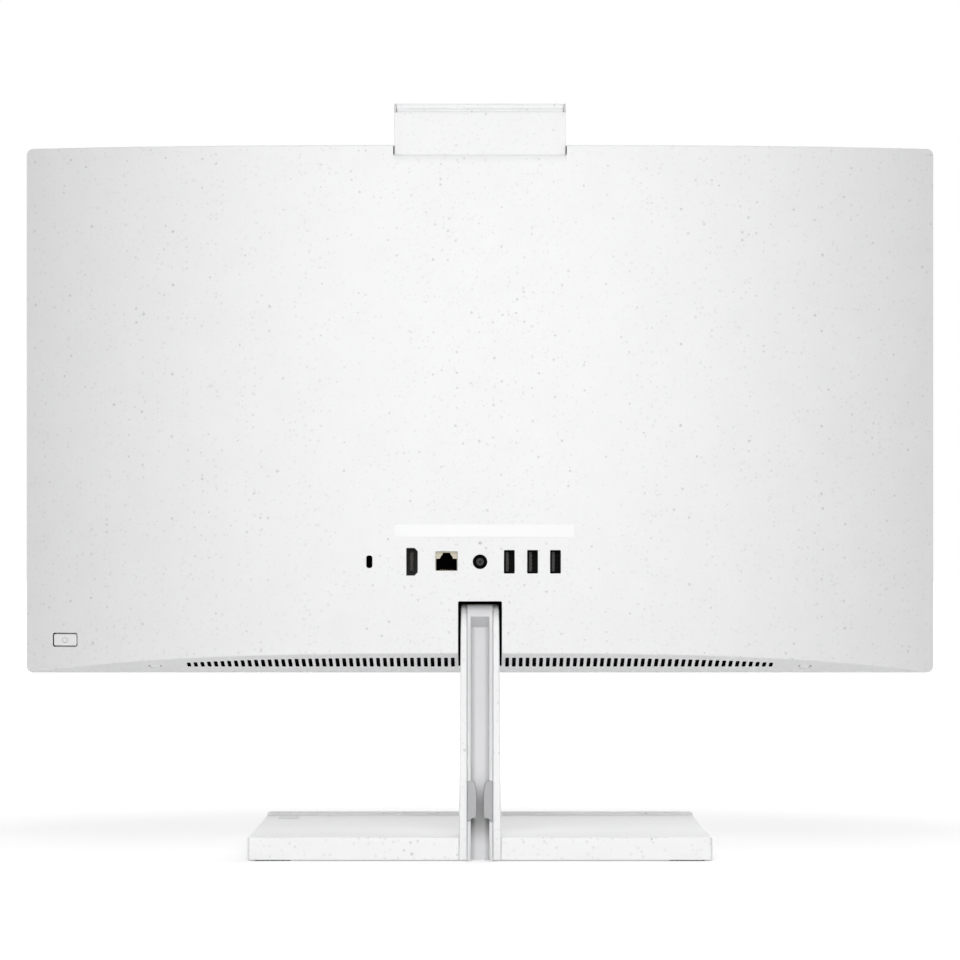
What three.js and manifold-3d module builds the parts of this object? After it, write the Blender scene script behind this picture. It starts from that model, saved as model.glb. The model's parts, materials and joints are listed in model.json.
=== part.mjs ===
// All-in-one desktop computer with a pop-up camera, on a flat base with a slim post.
// Millimetres. +Z is up, the screen faces -Y, the ports and the cable channel face +Y.
// The origin is on the ground, at the centre of the overall box.

import * as THREE from 'three';
import { mergeVertices } from 'three/addons/utils/BufferGeometryUtils.js';
import Module from 'manifold-3d';

const wasm = await Module();
wasm.setup();

// ---------------------------------------------------------------- driving dimensions

const fitGap = 0.3; // clearance between pieces that rest on each other
const slideGap = 0.5; // clearance between pieces that slide past each other

// Base
const baseWidth = 272;
const baseDepth = 204.5;
const baseTop = 14.2;
const baseUnderside = 0.8;
const baseWall = 2.4;
const baseCornerRadius = 5;
const lipHeight = 2.7;
const lipThickness = 4.1;
const basePlateThickness = 3;
const footLength = 21;
const footWidth = 12;
const footHeight = 1.6;
const footCornerRadius = 2;
const footSideInset = 4;
const footEndInset = 4.5;
const badgeSize = 13;
const badgeThickness = 0.4;
const badgeCornerRadius = 1.5;
const badgeGap = 0.02;
const badgeSideInset = 15.7;
const badgeFromRear = 177.6;

// Post
const postTopWidth = 22.3;
const postFootWidth = 24.9;
const postDepth = 26;
const postTop = 150.5;
const postUnderside = 0.85;
const postWall = 2.5;
const postFlange = 2.2;
const postTopRadius = 17; // round top, concentric with the tilt axis
const coreThickness = 8.2;
const coreHalfWidth = 7.2;
const coreHeadRadius = 6.2;
const coreFootLength = 58;
const coreFootThickness = 3;
const postScrewRadius = 2;
const postScrewHead = 3.5;
const postScrewHeadHeight = 2;
const postScrewShares = [0.35, 0.8]; // places along the core's foot

// Cable channel in the back of the post
const channelHalfWidth = 7.5;
const channelDepth = 12;
const channelProud = 2;
const channelUnderside = 0.2;
const channelTopRadius = 11.5;
const troughHalfWidth = 5.5;
const troughWallDepth = 5;
const troughTop = 136;
const troughRunout = 8.5;
const clipBottom = 25.4;
const clipTop = 47;
const clipSlot = 4.4;
const clipThickness = 2;
const clipLiner = 1.2;
const clipFlare = 4;

// Display body
const bodyWidth = 540;
const bodyHeight = 311.9;
const bodyBottom = 109.3;
const bodyCornerRadius = 4;
const coverDepth = 42;
const coverCurvePower = 3;
const coverEdge = 1; // straight side wall of the cover at its rim
const coverWall = 2.5;
const coverBehindPost = -1; // the cover's back against the post's back
const topSlope = 0.05;
const undersideSlope = 0.29;
const bezelDepth = 5;
const bezelSide = 2.2;
const bezelChin = 8.4;
const glassSetback = 0.5;
const panelThickness = 1.5;
const backlightThickness = 4;
const backlightSideInset = 8;
const backlightEndInset = 10;
const chassisThickness = 1.2;
const chassisSideInset = 14;
const chassisEndInset = 5;

// Vents, post opening and screw covers in the cover
const ventPitch = 4;
const ventWidth = 2.2;
const ventFirst = 16;
const ventSideInset = 98;
const ventFront = 12.5;
const ventRearInset = 9;
const postOpeningGap = 1.65;
const postOpeningRise = 1.6;
const postOpeningFrontGap = 4.5; // room for the body to lean forward
const plugSideInset = 77.6;
const plugDepth = 12.6;
const plugWidth = 5.8;
const plugLength = 9;
const plugThickness = 1.6;
const screwTab = { halfWidth: 7, reach: 5, thickness: 2 };
const finRestSize = { halfWidth: 20, bottom: 4, top: 12 };
const switchRestSize = { outer: 5.5, inner: 9, halfHeight: 5 };
const coverScrewRadius = 1.5;
const coverScrewHead = 2.6;
const coverScrewHeadHeight = 1.7;
const coverScrewLength = 12;
const coverBossRadius = 4.6;
const coverBossLength = 7;

// Tilt hinge
const hingePinRadius = 3;
const hingePinHead = { radius: 4.6, thickness: 1.5 };
const hingeArmThickness = 2.8;
const hingeArmRadius = 8;
const hingeWasherRadius = 6;
const hingeWasherThickness = 2.4;
const hingePlateThickness = 2.5;
const hingePlateHalfWidth = 45;
const hingePlateHeight = 34;
const hingeWindowMargin = 2;
const hingeWindowRise = 4;

// Ports, measured along the row of sockets
const portHeight = 175.2;
const socketDepth = 17.3;
const socketWall = 1;
const socketFloor = 3; // thickness behind a socket's cavity
const lockSlot = { x: 64.8, width: 3.6, height: 7.4, corner: 1.2 };
const lockPlateSize = { halfWidth: 8, halfHeight: 9, thickness: 1.5 };
const videoPort = { x: 39.8, width: 6.7, height: 16.2, chamfer: 1.9 };
const videoTongue = { right: -0.6, left: 1, halfHeight: 5.6, setback: 2 };
const networkPort = { x: 19.6, width: 13, height: 11.4, rise: 0.4 };
// Half widths of the network cavity at heights above its floor, from the plug's body up to its latch.
const networkCavity = [[6.1, 0], [6.1, 6.8], [4.2, 6.8], [3.6, 8.2], [2, 8.2], [2, 10.4]];
const networkCavityLift = 0.2;
const powerJack = { x: 0, radius: 4.25, postRadius: 2.3, boreRadius: 1.3, bodyRadius: 6.4 };
const jackDepths = { ringFloor: 5, boreFloor: 6, postSetback: 1.5 };
const dataPorts = [-17.1, -30.7, -44.1];
const dataPort = { width: 6.2, height: 13.7, tongue: 1.8, tongueSetback: 3, tongueMargin: 1 };
const statusLight = { z: 186.2, radius: 0.7, baseRadius: 2, hole: 0.2 };
const labelStrip = { left: 50.2, right: -54.9, bottom: 189.6, top: 197.2, thickness: 0.3, gap: 0.05 };

// Main board and what is on it
const boardHalfWidth = 100;
const boardBottom = 160;
const boardHeight = 175;
const boardThickness = 1.6;
const standoffRadius = 3.2;
const standoffInset = 8;
const spreader = { x: -40, z: 258, width: 50, height: 50, thickness: 3 };
const heatPipeRadius = 3;
const heatPipeBend = 18;
const finStack = { width: 66, height: 22, depth: 16, fin: 1.2, pitch: 5.5 };
const fanSize = 80;
const fanThickness = 14;
const fanWall = 1.4;
const fanCornerRadius = 6;
const fanPostRadius = 3;
const fanIntakeShare = 0.75; // intake radius against the rotor's
const fanX = -148;
const rotorRadius = 33;
const rotorHubRadius = 12;
const rotorThickness = 8;
const rotorShaftRadius = 2;
const rotorBlades = 11;
const bladeThickness = 1;
const rotorCap = 1.5; // closed end of the hub
const memory = { x: 50, z: 292, width: 67.6, height: 30, thickness: 3.8 };
const storage = { x: -52, z: 318, width: 80, height: 22, thickness: 2.4 };
const radio = { x: 70, z: 222, width: 30, height: 22, thickness: 2.4 };
const clockCell = { x: 20, z: 222, radius: 10, thickness: 3.2 };
const cardLift = 1.6;
const cardSlotHeight = 5;
const panelCable = { x: 0, z: 300, width: 30, thickness: 0.4, foot: 8 };

// Speakers
const speakerWidth = 28;
const speakerHeight = 66;
const speakerThickness = 9;
const speakerSideInset = 42;
const speakerLift = 4;
const speakerWall = 1.2;
const speakerMouthDepth = 5;

// Power button, on the cover's lower corner at +X
const buttonSideInset = 23.9;
const buttonHeight = 129;
const buttonWidth = 15.6;
const buttonTall = 8.5;
const buttonGap = 0.7;
const buttonTravel = 0.6;
const buttonFlange = 0.8;
const buttonFlangeLap = 1.4;
const buttonFlangeOuterLap = 0.2; // the shell leaves less room towards the body's side
const buttonCornerRadius = 0.8;
const buttonStemRadius = 1.4;
const buttonStemLength = 0.6;
const buttonStemOffset = -5;
const switchHeight = 1.8;
const switchBoardThickness = 0.8;
const switchSize = 5;
const switchBoardMargin = { side: 1, end: 2 };

// Pop-up camera
const cameraWidth = 100.4;
const cameraRise = 22.6; // how far it stands out above the body
const cameraThickness = 8.4;
const cameraLength = 58;
const cameraSideGap = 1.3;
const cameraNotchDepth = 7.7;
const cameraSlotFrontGap = 1.5; // room for the tilted bar to go down into the body
const cameraBarRadius = 4;
const cameraCradleGap = 0.35;
const cameraBarCorner = 1.2;
const cameraCapWidth = 1.2;
const cameraCapDrop = 0.6;
const cameraPinRadius = 1.2;
const cameraPinLength = 5;
const cameraLensRadius = 2.2;
const cameraLensProud = 0.3;
const cameraLensDepth = 1.5;
const guideWidth = 4;
const guideDrop = 26;
const guideLip = { lap: 4, thickness: 2.5 };
const guideTopGap = 1;
const cameraWallGap = 0.8; // between the carriage and the cover's back wall
const latch = { halfWidth: 9, height: 9 };

// ---------------------------------------------------------------- derived places

const rearPlane = (baseDepth - channelProud) / 2; // back of the base and of the post
const frontPlane = rearPlane - baseDepth;
const halfWidth = bodyWidth / 2;
const bodyTop = bodyBottom + bodyHeight;
const rimPlane = rearPlane + coverBehindPost - coverDepth;
const coverInner = coverDepth - coverWall;
const bezelFront = -coverEdge - fitGap - bezelDepth;
const panelFront = bezelFront + glassSetback;
const panelRear = panelFront + panelThickness;
const backlightRear = panelRear + fitGap + backlightThickness;
const chassisRear = backlightRear + fitGap + chassisThickness;
const boardRear = coverInner - fitGap - socketDepth - fitGap;
const boardFront = boardRear - boardThickness;
const pivotY = rearPlane - postTopRadius;
const pivotZ = postTop - postTopRadius;
const postFront = rearPlane - postDepth;
const basePlateBottom = footHeight + fitGap;
const basePlateTop = basePlateBottom + basePlateThickness;
const pipeLevel = boardRear + 2 * fitGap + spreader.thickness + heatPipeRadius + fitGap;
const cameraRear = coverInner - cameraWallGap;
const cameraFront = cameraRear - cameraThickness;
const cameraTop = bodyTop + cameraRise;
const barY = (cameraRear + cameraFront) / 2;
const barZ = cameraTop - cameraBarRadius;

// Y of a place given as its depth behind the cover's rim.
const atDepth = (depth) => rimPlane + depth;
// Depth of the cover's outer surface behind its rim, and its slope there.
const coverDepthAt = (x) => coverDepth * (1 - Math.abs(x / halfWidth) ** coverCurvePower);
const coverSlopeAt = (x) => {
  return coverDepth * coverCurvePower * Math.abs(x) ** (coverCurvePower - 1) / halfWidth ** coverCurvePower;
};
const innerDepthAt = (x) => coverDepthAt(x) - coverWall * Math.hypot(1, coverSlopeAt(x));
// Height of the cover's outer underside at a depth behind the rim.
const undersideAt = (depth) => bodyBottom + undersideSlope * depth;
const undersideInnerAt = (depth) => undersideAt(depth) + coverWall * Math.hypot(1, undersideSlope);

// ---------------------------------------------------------------- solid helpers

// A closed three.js geometry as a solid, with its shared corners merged.
function solid(geometry) {
  const bare = geometry.index ? geometry.toNonIndexed() : geometry.clone();
  bare.deleteAttribute('normal');
  bare.deleteAttribute('uv');
  const merged = mergeVertices(bare, 1e-4);
  return new wasm.Manifold(new wasm.Mesh({
    numProp: 3,
    vertProperties: new Float32Array(merged.attributes.position.array),
    triVerts: new Uint32Array(merged.index.array),
  }));
}

function join(solids) {
  return solids.reduce((whole, next) => whole.add(next));
}

function cut(body, ...tools) {
  return tools.reduce((rest, tool) => rest.subtract(tool), body);
}

function box(x0, x1, y0, y1, z0, z1) {
  const geometry = new THREE.BoxGeometry(x1 - x0, y1 - y0, z1 - z0);
  geometry.translate((x0 + x1) / 2, (y0 + y1) / 2, (z0 + z1) / 2);
  return solid(geometry);
}

// Turns an extrusion made along local Z so that it runs along a world axis: outline
// points are (y, z) for axis x, (x, z) for axis y and (x, y) for axis z.
const axisTurn = {
  x: new THREE.Matrix4().set(0, 0, 1, 0, 1, 0, 0, 0, 0, 1, 0, 0, 0, 0, 0, 1),
  y: new THREE.Matrix4().set(1, 0, 0, 0, 0, 0, -1, 0, 0, 1, 0, 0, 0, 0, 0, 1),
  z: new THREE.Matrix4(),
};

function prism(points, axis, low, high) {
  const shape = new THREE.Shape(points.map(([a, b]) => new THREE.Vector2(a, b)));
  const geometry = new THREE.ExtrudeGeometry(shape, { depth: high - low, bevelEnabled: false });
  geometry.translate(0, 0, axis === 'y' ? -high : low);
  geometry.applyMatrix4(axisTurn[axis]);
  return solid(geometry);
}

function arc(centreA, centreB, radius, startDegrees, endDegrees, steps) {
  return Array.from({ length: steps + 1 }, (_, i) => {
    const angle = THREE.MathUtils.degToRad(startDegrees + (endDegrees - startDegrees) * i / steps);
    return [centreA + radius * Math.cos(angle), centreB + radius * Math.sin(angle)];
  });
}

function rod(axis, a, b, radius, low, high, sides = 20) {
  const outline = arc(a, b, radius, 0, 360 - 360 / sides, sides - 1);
  return prism(outline, axis, low, high);
}

function roundedOutline(a0, a1, b0, b1, radius, steps = 3) {
  return [
    ...arc(a1 - radius, b1 - radius, radius, 0, 90, steps),
    ...arc(a0 + radius, b1 - radius, radius, 90, 180, steps),
    ...arc(a0 + radius, b0 + radius, radius, 180, 270, steps),
    ...arc(a1 - radius, b0 + radius, radius, 270, 360, steps),
  ];
}

const machine = new THREE.Group();
machine.name = 'all_in_one_computer';

function addPiece(name, body, colour, roughness, metalness = 0, parent = machine) {
  const mesh = body.getMesh();
  const geometry = new THREE.BufferGeometry();
  geometry.setAttribute('position', new THREE.BufferAttribute(new Float32Array(mesh.vertProperties), 3));
  geometry.setIndex(new THREE.BufferAttribute(new Uint32Array(mesh.triVerts), 1));
  geometry.computeVertexNormals();
  const material = new THREE.MeshStandardMaterial({ color: colour, roughness, metalness });
  const piece = new THREE.Mesh(geometry, material);
  piece.name = name;
  parent.add(piece);
  return piece;
}

const colours = {
  white: 0xf1f1f2,
  silver: 0xc6c6c8,
  grey: 0xb0b0b2,
  darkGrey: 0x8f8f92,
  black: 0x17181a,
  steel: 0xa9adb2,
  copper: 0xb87348,
  board: 0x1f5a3c,
  rubber: 0x6c6c6e,
  beige: 0xd9d2bf,
};

// ---------------------------------------------------------------- stand

// Clearance cut where the post passes down through the back of the base.
function postNotch() {
  const half = postFootWidth / 2 + fitGap;
  return box(-half, half, postFront - fitGap, rearPlane + 1, 0, baseTop + lipHeight + 1);
}

function baseCover() {
  const half = baseWidth / 2;
  const shell = prism(
    roundedOutline(-half, half, frontPlane, rearPlane, baseCornerRadius), 'z', baseUnderside, baseTop);
  const hollow = prism(
    roundedOutline(-half + baseWall, half - baseWall, frontPlane + baseWall, rearPlane - baseWall,
      baseCornerRadius - baseWall), 'z', 0, baseTop - baseWall);
  const lipTop = baseTop + lipHeight;
  const lip = prism(
    roundedOutline(-half, half, frontPlane, rearPlane, baseCornerRadius), 'z', baseTop, lipTop);
  const lipTrim = box(-half - 1, half + 1, frontPlane + lipThickness, rearPlane + 1, baseTop, lipTop + 1);
  return cut(cut(shell, hollow).add(cut(lip, lipTrim)), postNotch());
}

function basePlate() {
  const half = baseWidth / 2 - baseWall - fitGap;
  const front = frontPlane + baseWall + fitGap;
  const rear = rearPlane - baseWall - fitGap;
  const outline = roundedOutline(-half, half, front, rear, baseCornerRadius - baseWall);
  const plate = prism(outline, 'z', basePlateBottom, basePlateTop);
  const threads = postScrewPlaces().map((y) => rod('z', 0, y, postScrewRadius + fitGap, 0, baseTop, 12));
  return cut(plate, postNotch(), ...threads);
}

function addFeet() {
  const outer = baseWidth / 2 - footSideInset;
  for (const [side, direction] of [['left', -1], ['right', 1]]) {
    const rearFoot = rearPlane - footEndInset - footWidth;
    for (const [end, y] of [['front', frontPlane + footEndInset], ['rear', rearFoot]]) {
      const x0 = Math.min(direction * outer, direction * (outer - footLength));
      const outline = roundedOutline(x0, x0 + footLength, y, y + footWidth, footCornerRadius);
      addPiece(`foot_${end}_${side}`, prism(outline, 'z', 0, footHeight), colours.rubber, 0.9);
    }
  }
}

function baseBadge() {
  const x = baseWidth / 2 - badgeSideInset;
  const y = rearPlane - badgeFromRear;
  const half = badgeSize / 2;
  const bottom = baseTop + badgeGap;
  const outline = roundedOutline(x - half, x + half, y - half, y + half, badgeCornerRadius);
  return prism(outline, 'z', bottom, bottom + badgeThickness);
}

// Places along Y of the two screws that hold the post's core to the base plate.
function postScrewPlaces() {
  return postScrewShares.map((share) => pivotY - coreHeadRadius - coreFootLength * share);
}

// Side outline of the post: straight back and front, round top about the tilt axis.
function postOutline(offset, underside) {
  const radius = postTopRadius - offset;
  const front = postFront + offset;
  const frontAngle = THREE.MathUtils.radToDeg(Math.acos((front - pivotY) / radius));
  return [
    [front, underside],
    [rearPlane - offset, underside],
    ...arc(pivotY, pivotZ, radius, 0, frontAngle, 10),
  ];
}

// Front outline of the post, wider at the foot.
function postTaper(offset) {
  const top = postTopWidth / 2 - offset;
  const foot = postFootWidth / 2 - offset;
  return [[-foot, postUnderside - 1], [foot, postUnderside - 1], [top, postTop + 1], [-top, postTop + 1]];
}

function postShell() {
  const outer = prism(postOutline(0, postUnderside), 'x', -postFootWidth, postFootWidth)
    .intersect(prism(postTaper(0), 'y', postFront - 1, rearPlane + 1));
  const inner = prism(postOutline(postFlange, 0), 'x', -postFootWidth, postFootWidth)
    .intersect(prism(postTaper(postWall), 'y', postFront - 1, rearPlane + 1));
  const slotHalf = channelHalfWidth + fitGap;
  const slotFront = rearPlane + channelProud - channelDepth - fitGap;
  const channelSlot = box(-slotHalf, slotHalf, slotFront, rearPlane + 1, 0, postTop + 1);
  const pinHole = rod('x', pivotY, pivotZ, hingePinRadius + fitGap, -postFootWidth, postFootWidth);
  const footHalf = coreHalfWidth + fitGap;
  const footDoor = box(-footHalf, footHalf, postFront - 1, postFront + postWall + 1,
    0, basePlateTop + coreFootThickness + 2 * fitGap);
  return cut(outer, inner, channelSlot, pinHole, footDoor);
}

function postCore() {
  const bottom = basePlateTop + fitGap;
  const front = pivotY - coreHeadRadius;
  const bar = box(-coreHalfWidth, coreHalfWidth, front, front + coreThickness, bottom, pivotZ);
  const head = rod('x', pivotY, pivotZ, coreHeadRadius, -coreHalfWidth, coreHalfWidth, 24);
  const foot = box(-coreHalfWidth, coreHalfWidth, front - coreFootLength, front + 1, bottom,
    bottom + coreFootThickness);
  const bore = rod('x', pivotY, pivotZ, hingePinRadius + fitGap, -postFootWidth, postFootWidth);
  const holes = postScrewPlaces().map((y) => rod('z', 0, y, postScrewRadius + fitGap, 0, baseTop, 12));
  return cut(join([bar, head, foot]), bore, ...holes);
}

function addPostScrews() {
  const headBottom = basePlateTop + fitGap + coreFootThickness + fitGap;
  postScrewPlaces().forEach((y, i) => {
    const shank = rod('z', 0, y, postScrewRadius, basePlateBottom + fitGap, headBottom + 0.5, 12);
    const head = rod('z', 0, y, postScrewHead, headBottom, headBottom + postScrewHeadHeight, 12);
    addPiece(`post_screw_${i + 1}`, shank.add(head), colours.steel, 0.35, 0.9);
  });
}

// Cross outline of the cable trough: straight sides and a round bottom.
function troughOutline(halfWidth, mouth) {
  const centre = rearPlane + channelProud - troughWallDepth;
  return [[halfWidth, mouth], ...arc(0, centre, halfWidth, 360, 180, 10), [-halfWidth, mouth]].reverse();
}

// The lips are cut back here so that the clip's wings lie flush with them.
function clipSeat(gap) {
  const rear = rearPlane + channelProud;
  return box(-channelHalfWidth - 1, channelHalfWidth + 1, rear - clipThickness - gap, rear + 1,
    clipBottom - clipFlare / 2 - gap, clipTop + gap);
}

function cableChannel() {
  const front = rearPlane + channelProud - channelDepth;
  const rear = rearPlane + channelProud;
  const roundCentre = rear - channelTopRadius;
  const outline = [
    [front, channelUnderside],
    [rear, channelUnderside],
    ...arc(roundCentre, postTop - channelTopRadius, channelTopRadius, 0, 90, 7),
    [front, postTop],
  ];
  const body = prism(outline, 'x', -channelHalfWidth, channelHalfWidth);
  const bottom = rear - troughWallDepth - troughHalfWidth - 1;
  const runout = [[bottom, -1], [rear + 1, -1], [rear + 1, troughTop + troughRunout], [bottom, troughTop]];
  const trough = prism(troughOutline(troughHalfWidth, rear + 1), 'z', -1, postTop)
    .intersect(prism(runout, 'x', -channelHalfWidth, channelHalfWidth));
  return cut(body, trough, clipSeat(fitGap));
}

// A springy sleeve that lies in the trough, with two wings over the lips.
function cableClip() {
  const rear = rearPlane + channelProud;
  const outerHalf = troughHalfWidth - fitGap;
  const innerHalf = outerHalf - clipLiner;
  const sleeve = prism(troughOutline(outerHalf, rear - 0.5), 'z', clipBottom, clipTop - clipFlare);
  const bore = prism(troughOutline(innerHalf, rear - clipThickness), 'z', 0, postTop);
  const half = channelHalfWidth - 0.2;
  const wings = prism([
    [-half, clipBottom - clipFlare / 2], [-innerHalf, clipBottom], [innerHalf, clipBottom],
    [half, clipBottom - clipFlare / 2], [half, clipTop], [innerHalf, clipTop],
    [clipSlot / 2, clipTop - clipFlare], [-clipSlot / 2, clipTop - clipFlare], [-innerHalf, clipTop],
    [-half, clipTop],
  ], 'y', rear - clipThickness, rear);
  const slot = box(-clipSlot / 2, clipSlot / 2, rear - clipThickness - 1, rear + 1, 0, postTop);
  return cut(sleeve.add(wings), bore, slot);
}

function addStand() {
  addPiece('base_cover', baseCover(), colours.white, 0.5);
  addPiece('base_plate', basePlate(), colours.steel, 0.5, 0.8);
  addFeet();
  addPiece('base_badge', baseBadge(), colours.silver, 0.4);
  addPiece('post_shell', postShell(), colours.white, 0.45);
  addPiece('post_core', postCore(), colours.steel, 0.4, 0.9);
  addPostScrews();
  addPiece('cable_channel', cableChannel(), colours.silver, 0.4);
  addPiece('cable_clip', cableClip(), colours.grey, 0.5);
}

// ---------------------------------------------------------------- tilt hinge

const openingHalf = postTopWidth / 2 + postOpeningGap;
const washerInner = postFootWidth / 2 + fitGap;
const washerOuter = washerInner + hingeWasherThickness;
const armInner = washerOuter + fitGap;
const armOuter = armInner + hingeArmThickness;

function hingeBracket() {
  const plateFront = atDepth(chassisRear + fitGap);
  const plateRear = plateFront + hingePlateThickness;
  const plateBottom = pivotZ - hingeArmRadius;
  const plate = box(-hingePlateHalfWidth, hingePlateHalfWidth, plateFront, plateRear,
    plateBottom, plateBottom + hingePlateHeight);
  const clearHole = rod('x', pivotY, pivotZ, hingePinRadius + fitGap, -armOuter - 1, armOuter + 1);
  const windowHalf = armInner - hingeWindowMargin;
  const window = box(-windowHalf, windowHalf, plateFront - 1, plateRear + 1,
    plateBottom - 1, pivotZ + hingeWindowRise);
  const outline = [
    [plateFront, plateBottom],
    ...arc(pivotY, pivotZ, hingeArmRadius, -90, 90, 8),
    [plateFront, plateBottom + hingePlateHeight],
  ];
  const arms = [-1, 1].map((side) => {
    const low = Math.min(side * armInner, side * armOuter);
    return prism(outline, 'x', low, low + hingeArmThickness);
  });
  return cut(join([plate, ...arms]), clearHole, window);
}

function hingePin() {
  const end = armOuter + fitGap;
  const shaft = rod('x', pivotY, pivotZ, hingePinRadius, -end, end);
  const heads = [-1, 1].map((side) => {
    const low = Math.min(side * end, side * (end + hingePinHead.thickness));
    return rod('x', pivotY, pivotZ, hingePinHead.radius, low, low + hingePinHead.thickness);
  });
  return join([shaft, ...heads]);
}

function addHinge() {
  addPiece('hinge_bracket', hingeBracket(), colours.steel, 0.45, 0.9);
  addPiece('hinge_pin', hingePin(), colours.steel, 0.3, 1);
  for (const [side, direction] of [['left', -1], ['right', 1]]) {
    const low = Math.min(direction * washerInner, direction * washerOuter);
    const ring = cut(
      rod('x', pivotY, pivotZ, hingeWasherRadius, low, low + hingeWasherThickness),
      rod('x', pivotY, pivotZ, hingePinRadius + fitGap, -armOuter, armOuter));
    addPiece(`friction_washer_${side}`, ring, colours.steel, 0.35, 1);
  }
}

// ---------------------------------------------------------------- covers and frames

const ventReach = halfWidth - ventSideInset;
const ventCount = Math.floor((ventReach - ventFirst) / ventPitch) + 1;
const plugX = halfWidth - plugSideInset;
// Underside of the screw head, and the seat in the cover's boss that it is pulled against.
const coverScrewBottom = undersideAt(plugDepth + coverScrewHead) + plugThickness + fitGap;
const coverScrewHeadZ = coverScrewBottom + coverScrewHeadHeight + fitGap;
const coverBossTop = coverScrewHeadZ + coverBossLength;

// Half width at which the cover's inner surface comes forward to its rim.
function innerReach() {
  let low = 0;
  let high = halfWidth - coverWall;
  for (let i = 0; i < 40; i += 1) {
    const middle = (low + high) / 2;
    if (innerDepthAt(middle) > -coverEdge) {
      low = middle;
    } else {
      high = middle;
    }
  }
  return low;
}

// Plan outline between the rim and the curved back, with stations closer together at the sides.
function coverPlan(depthAt, reach, front) {
  const steps = 40;
  const back = Array.from({ length: steps + 1 }, (_, i) => {
    const x = reach * Math.sin(Math.PI * (0.5 - i / steps));
    return [x, atDepth(depthAt(x))];
  });
  return [[-reach, atDepth(front)], [reach, atDepth(front)], ...back];
}

// Side outline of the cover: sloping underside and a slightly falling top.
function coverSide(wall) {
  const rear = coverDepth + 1;
  const bottomWall = wall * Math.hypot(1, undersideSlope);
  const front = -coverEdge - 1;
  return [
    [atDepth(front), bodyBottom + bottomWall],
    [atDepth(0), bodyBottom + bottomWall],
    [atDepth(rear), undersideAt(rear) + bottomWall],
    [atDepth(rear), bodyTop - topSlope * rear - wall],
    [atDepth(0), bodyTop - wall],
    [atDepth(front), bodyTop - wall],
  ];
}

function ventSlots() {
  const slots = [];
  for (let i = 0; i < ventCount; i += 1) {
    const x = ventFirst + i * ventPitch;
    const rear = coverDepthAt(x) - ventRearInset;
    for (const side of [-1, 1]) {
      const centre = side * x;
      slots.push(box(centre - ventWidth / 2, centre + ventWidth / 2, atDepth(ventFront), atDepth(rear),
        bodyBottom, undersideInnerAt(rear) + 1));
    }
  }
  return slots;
}

function videoOutline(grow) {
  const left = videoPort.x + videoPort.width / 2 + grow;
  const right = videoPort.x - videoPort.width / 2 - grow;
  const bottom = portHeight - videoPort.height / 2 - grow;
  const top = portHeight + videoPort.height / 2 + grow;
  const chamfer = videoPort.chamfer;
  return [
    [right, bottom + chamfer], [right + chamfer, bottom], [left, bottom],
    [left, top], [right + chamfer, top], [right, top - chamfer],
  ];
}

function portHoles() {
  const front = atDepth(coverInner - 3);
  const rear = atDepth(coverDepth + 3);
  const centred = (x, z, width, height) => {
    return box(x - width / 2, x + width / 2, front, rear, z - height / 2, z + height / 2);
  };
  return [
    prism(roundedOutline(lockSlot.x - lockSlot.width / 2, lockSlot.x + lockSlot.width / 2,
      portHeight - lockSlot.height / 2, portHeight + lockSlot.height / 2, lockSlot.corner, 2),
    'y', front, rear),
    prism(videoOutline(0), 'y', front, rear),
    centred(networkPort.x, portHeight + networkPort.rise, networkPort.width, networkPort.height),
    rod('y', powerJack.x, portHeight, powerJack.radius, front, rear),
    rod('y', powerJack.x, statusLight.z, statusLight.radius + statusLight.hole, front, rear, 10),
    ...dataPorts.map((x) => centred(x, portHeight, dataPort.width, dataPort.height)),
  ];
}

// The button's own frame: origin on the cover's surface, +Y along the outward normal.
const buttonX = halfWidth - buttonSideInset;
const buttonAngle = Math.atan(coverSlopeAt(buttonX));
const buttonFrame = new THREE.Matrix4().makeRotationZ(-buttonAngle)
  .setPosition(buttonX, atDepth(coverDepthAt(buttonX)), buttonHeight);

function buttonOpening() {
  const geometry = new THREE.BoxGeometry(
    buttonWidth + 2 * buttonGap, 2 * coverWall + 2, buttonTall + 2 * buttonGap);
  return solid(geometry.applyMatrix4(buttonFrame));
}

// Boss over each screw cover: a pillar from the underside, bored for the screw.
function coverBosses() {
  return [-1, 1].map((side) => {
    return rod('z', side * plugX, atDepth(plugDepth), coverBossRadius, undersideAt(plugDepth) + 0.5,
      coverBossTop, 16);
  });
}

// A screw cover lies in the sloping underside, so its outline is a sheared rectangle.
function plugOutline(grow, drop) {
  const near = plugDepth - plugLength / 2 - grow;
  const far = plugDepth + plugLength / 2 + grow;
  return [
    [atDepth(near), undersideAt(near) - drop],
    [atDepth(far), undersideAt(far) - drop],
    [atDepth(far), undersideAt(far) + plugThickness + grow],
    [atDepth(near), undersideAt(near) + plugThickness + grow],
  ];
}

function plugPockets() {
  const half = plugWidth / 2 + fitGap;
  return [-1, 1].flatMap((side) => {
    const x = side * plugX;
    const y = atDepth(plugDepth);
    return [
      prism(plugOutline(fitGap, 1), 'x', x - half, x + half),
      rod('z', x, y, coverScrewHead + fitGap, bodyBottom, coverScrewHeadZ + 0.01, 16),
      rod('z', x, y, coverScrewRadius + fitGap, bodyBottom, coverBossTop + 1, 12),
    ];
  });
}

function cameraSlot() {
  const half = cameraWidth / 2 + cameraSideGap;
  return box(-half, half, atDepth(cameraFront - cameraSlotFrontGap), atDepth(coverDepth + 2),
    bodyTop - cameraNotchDepth, bodyTop + 2);
}

function postOpening() {
  return box(-openingHalf, openingHalf, postFront - postOpeningFrontGap, atDepth(coverDepth + 2),
    bodyBottom - 1, postTop + postOpeningRise);
}

function bodyOutline(inset) {
  return roundedOutline(-halfWidth + inset, halfWidth - inset, bodyBottom + inset, bodyTop - inset,
    bodyCornerRadius - inset / 2, 4);
}

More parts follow.
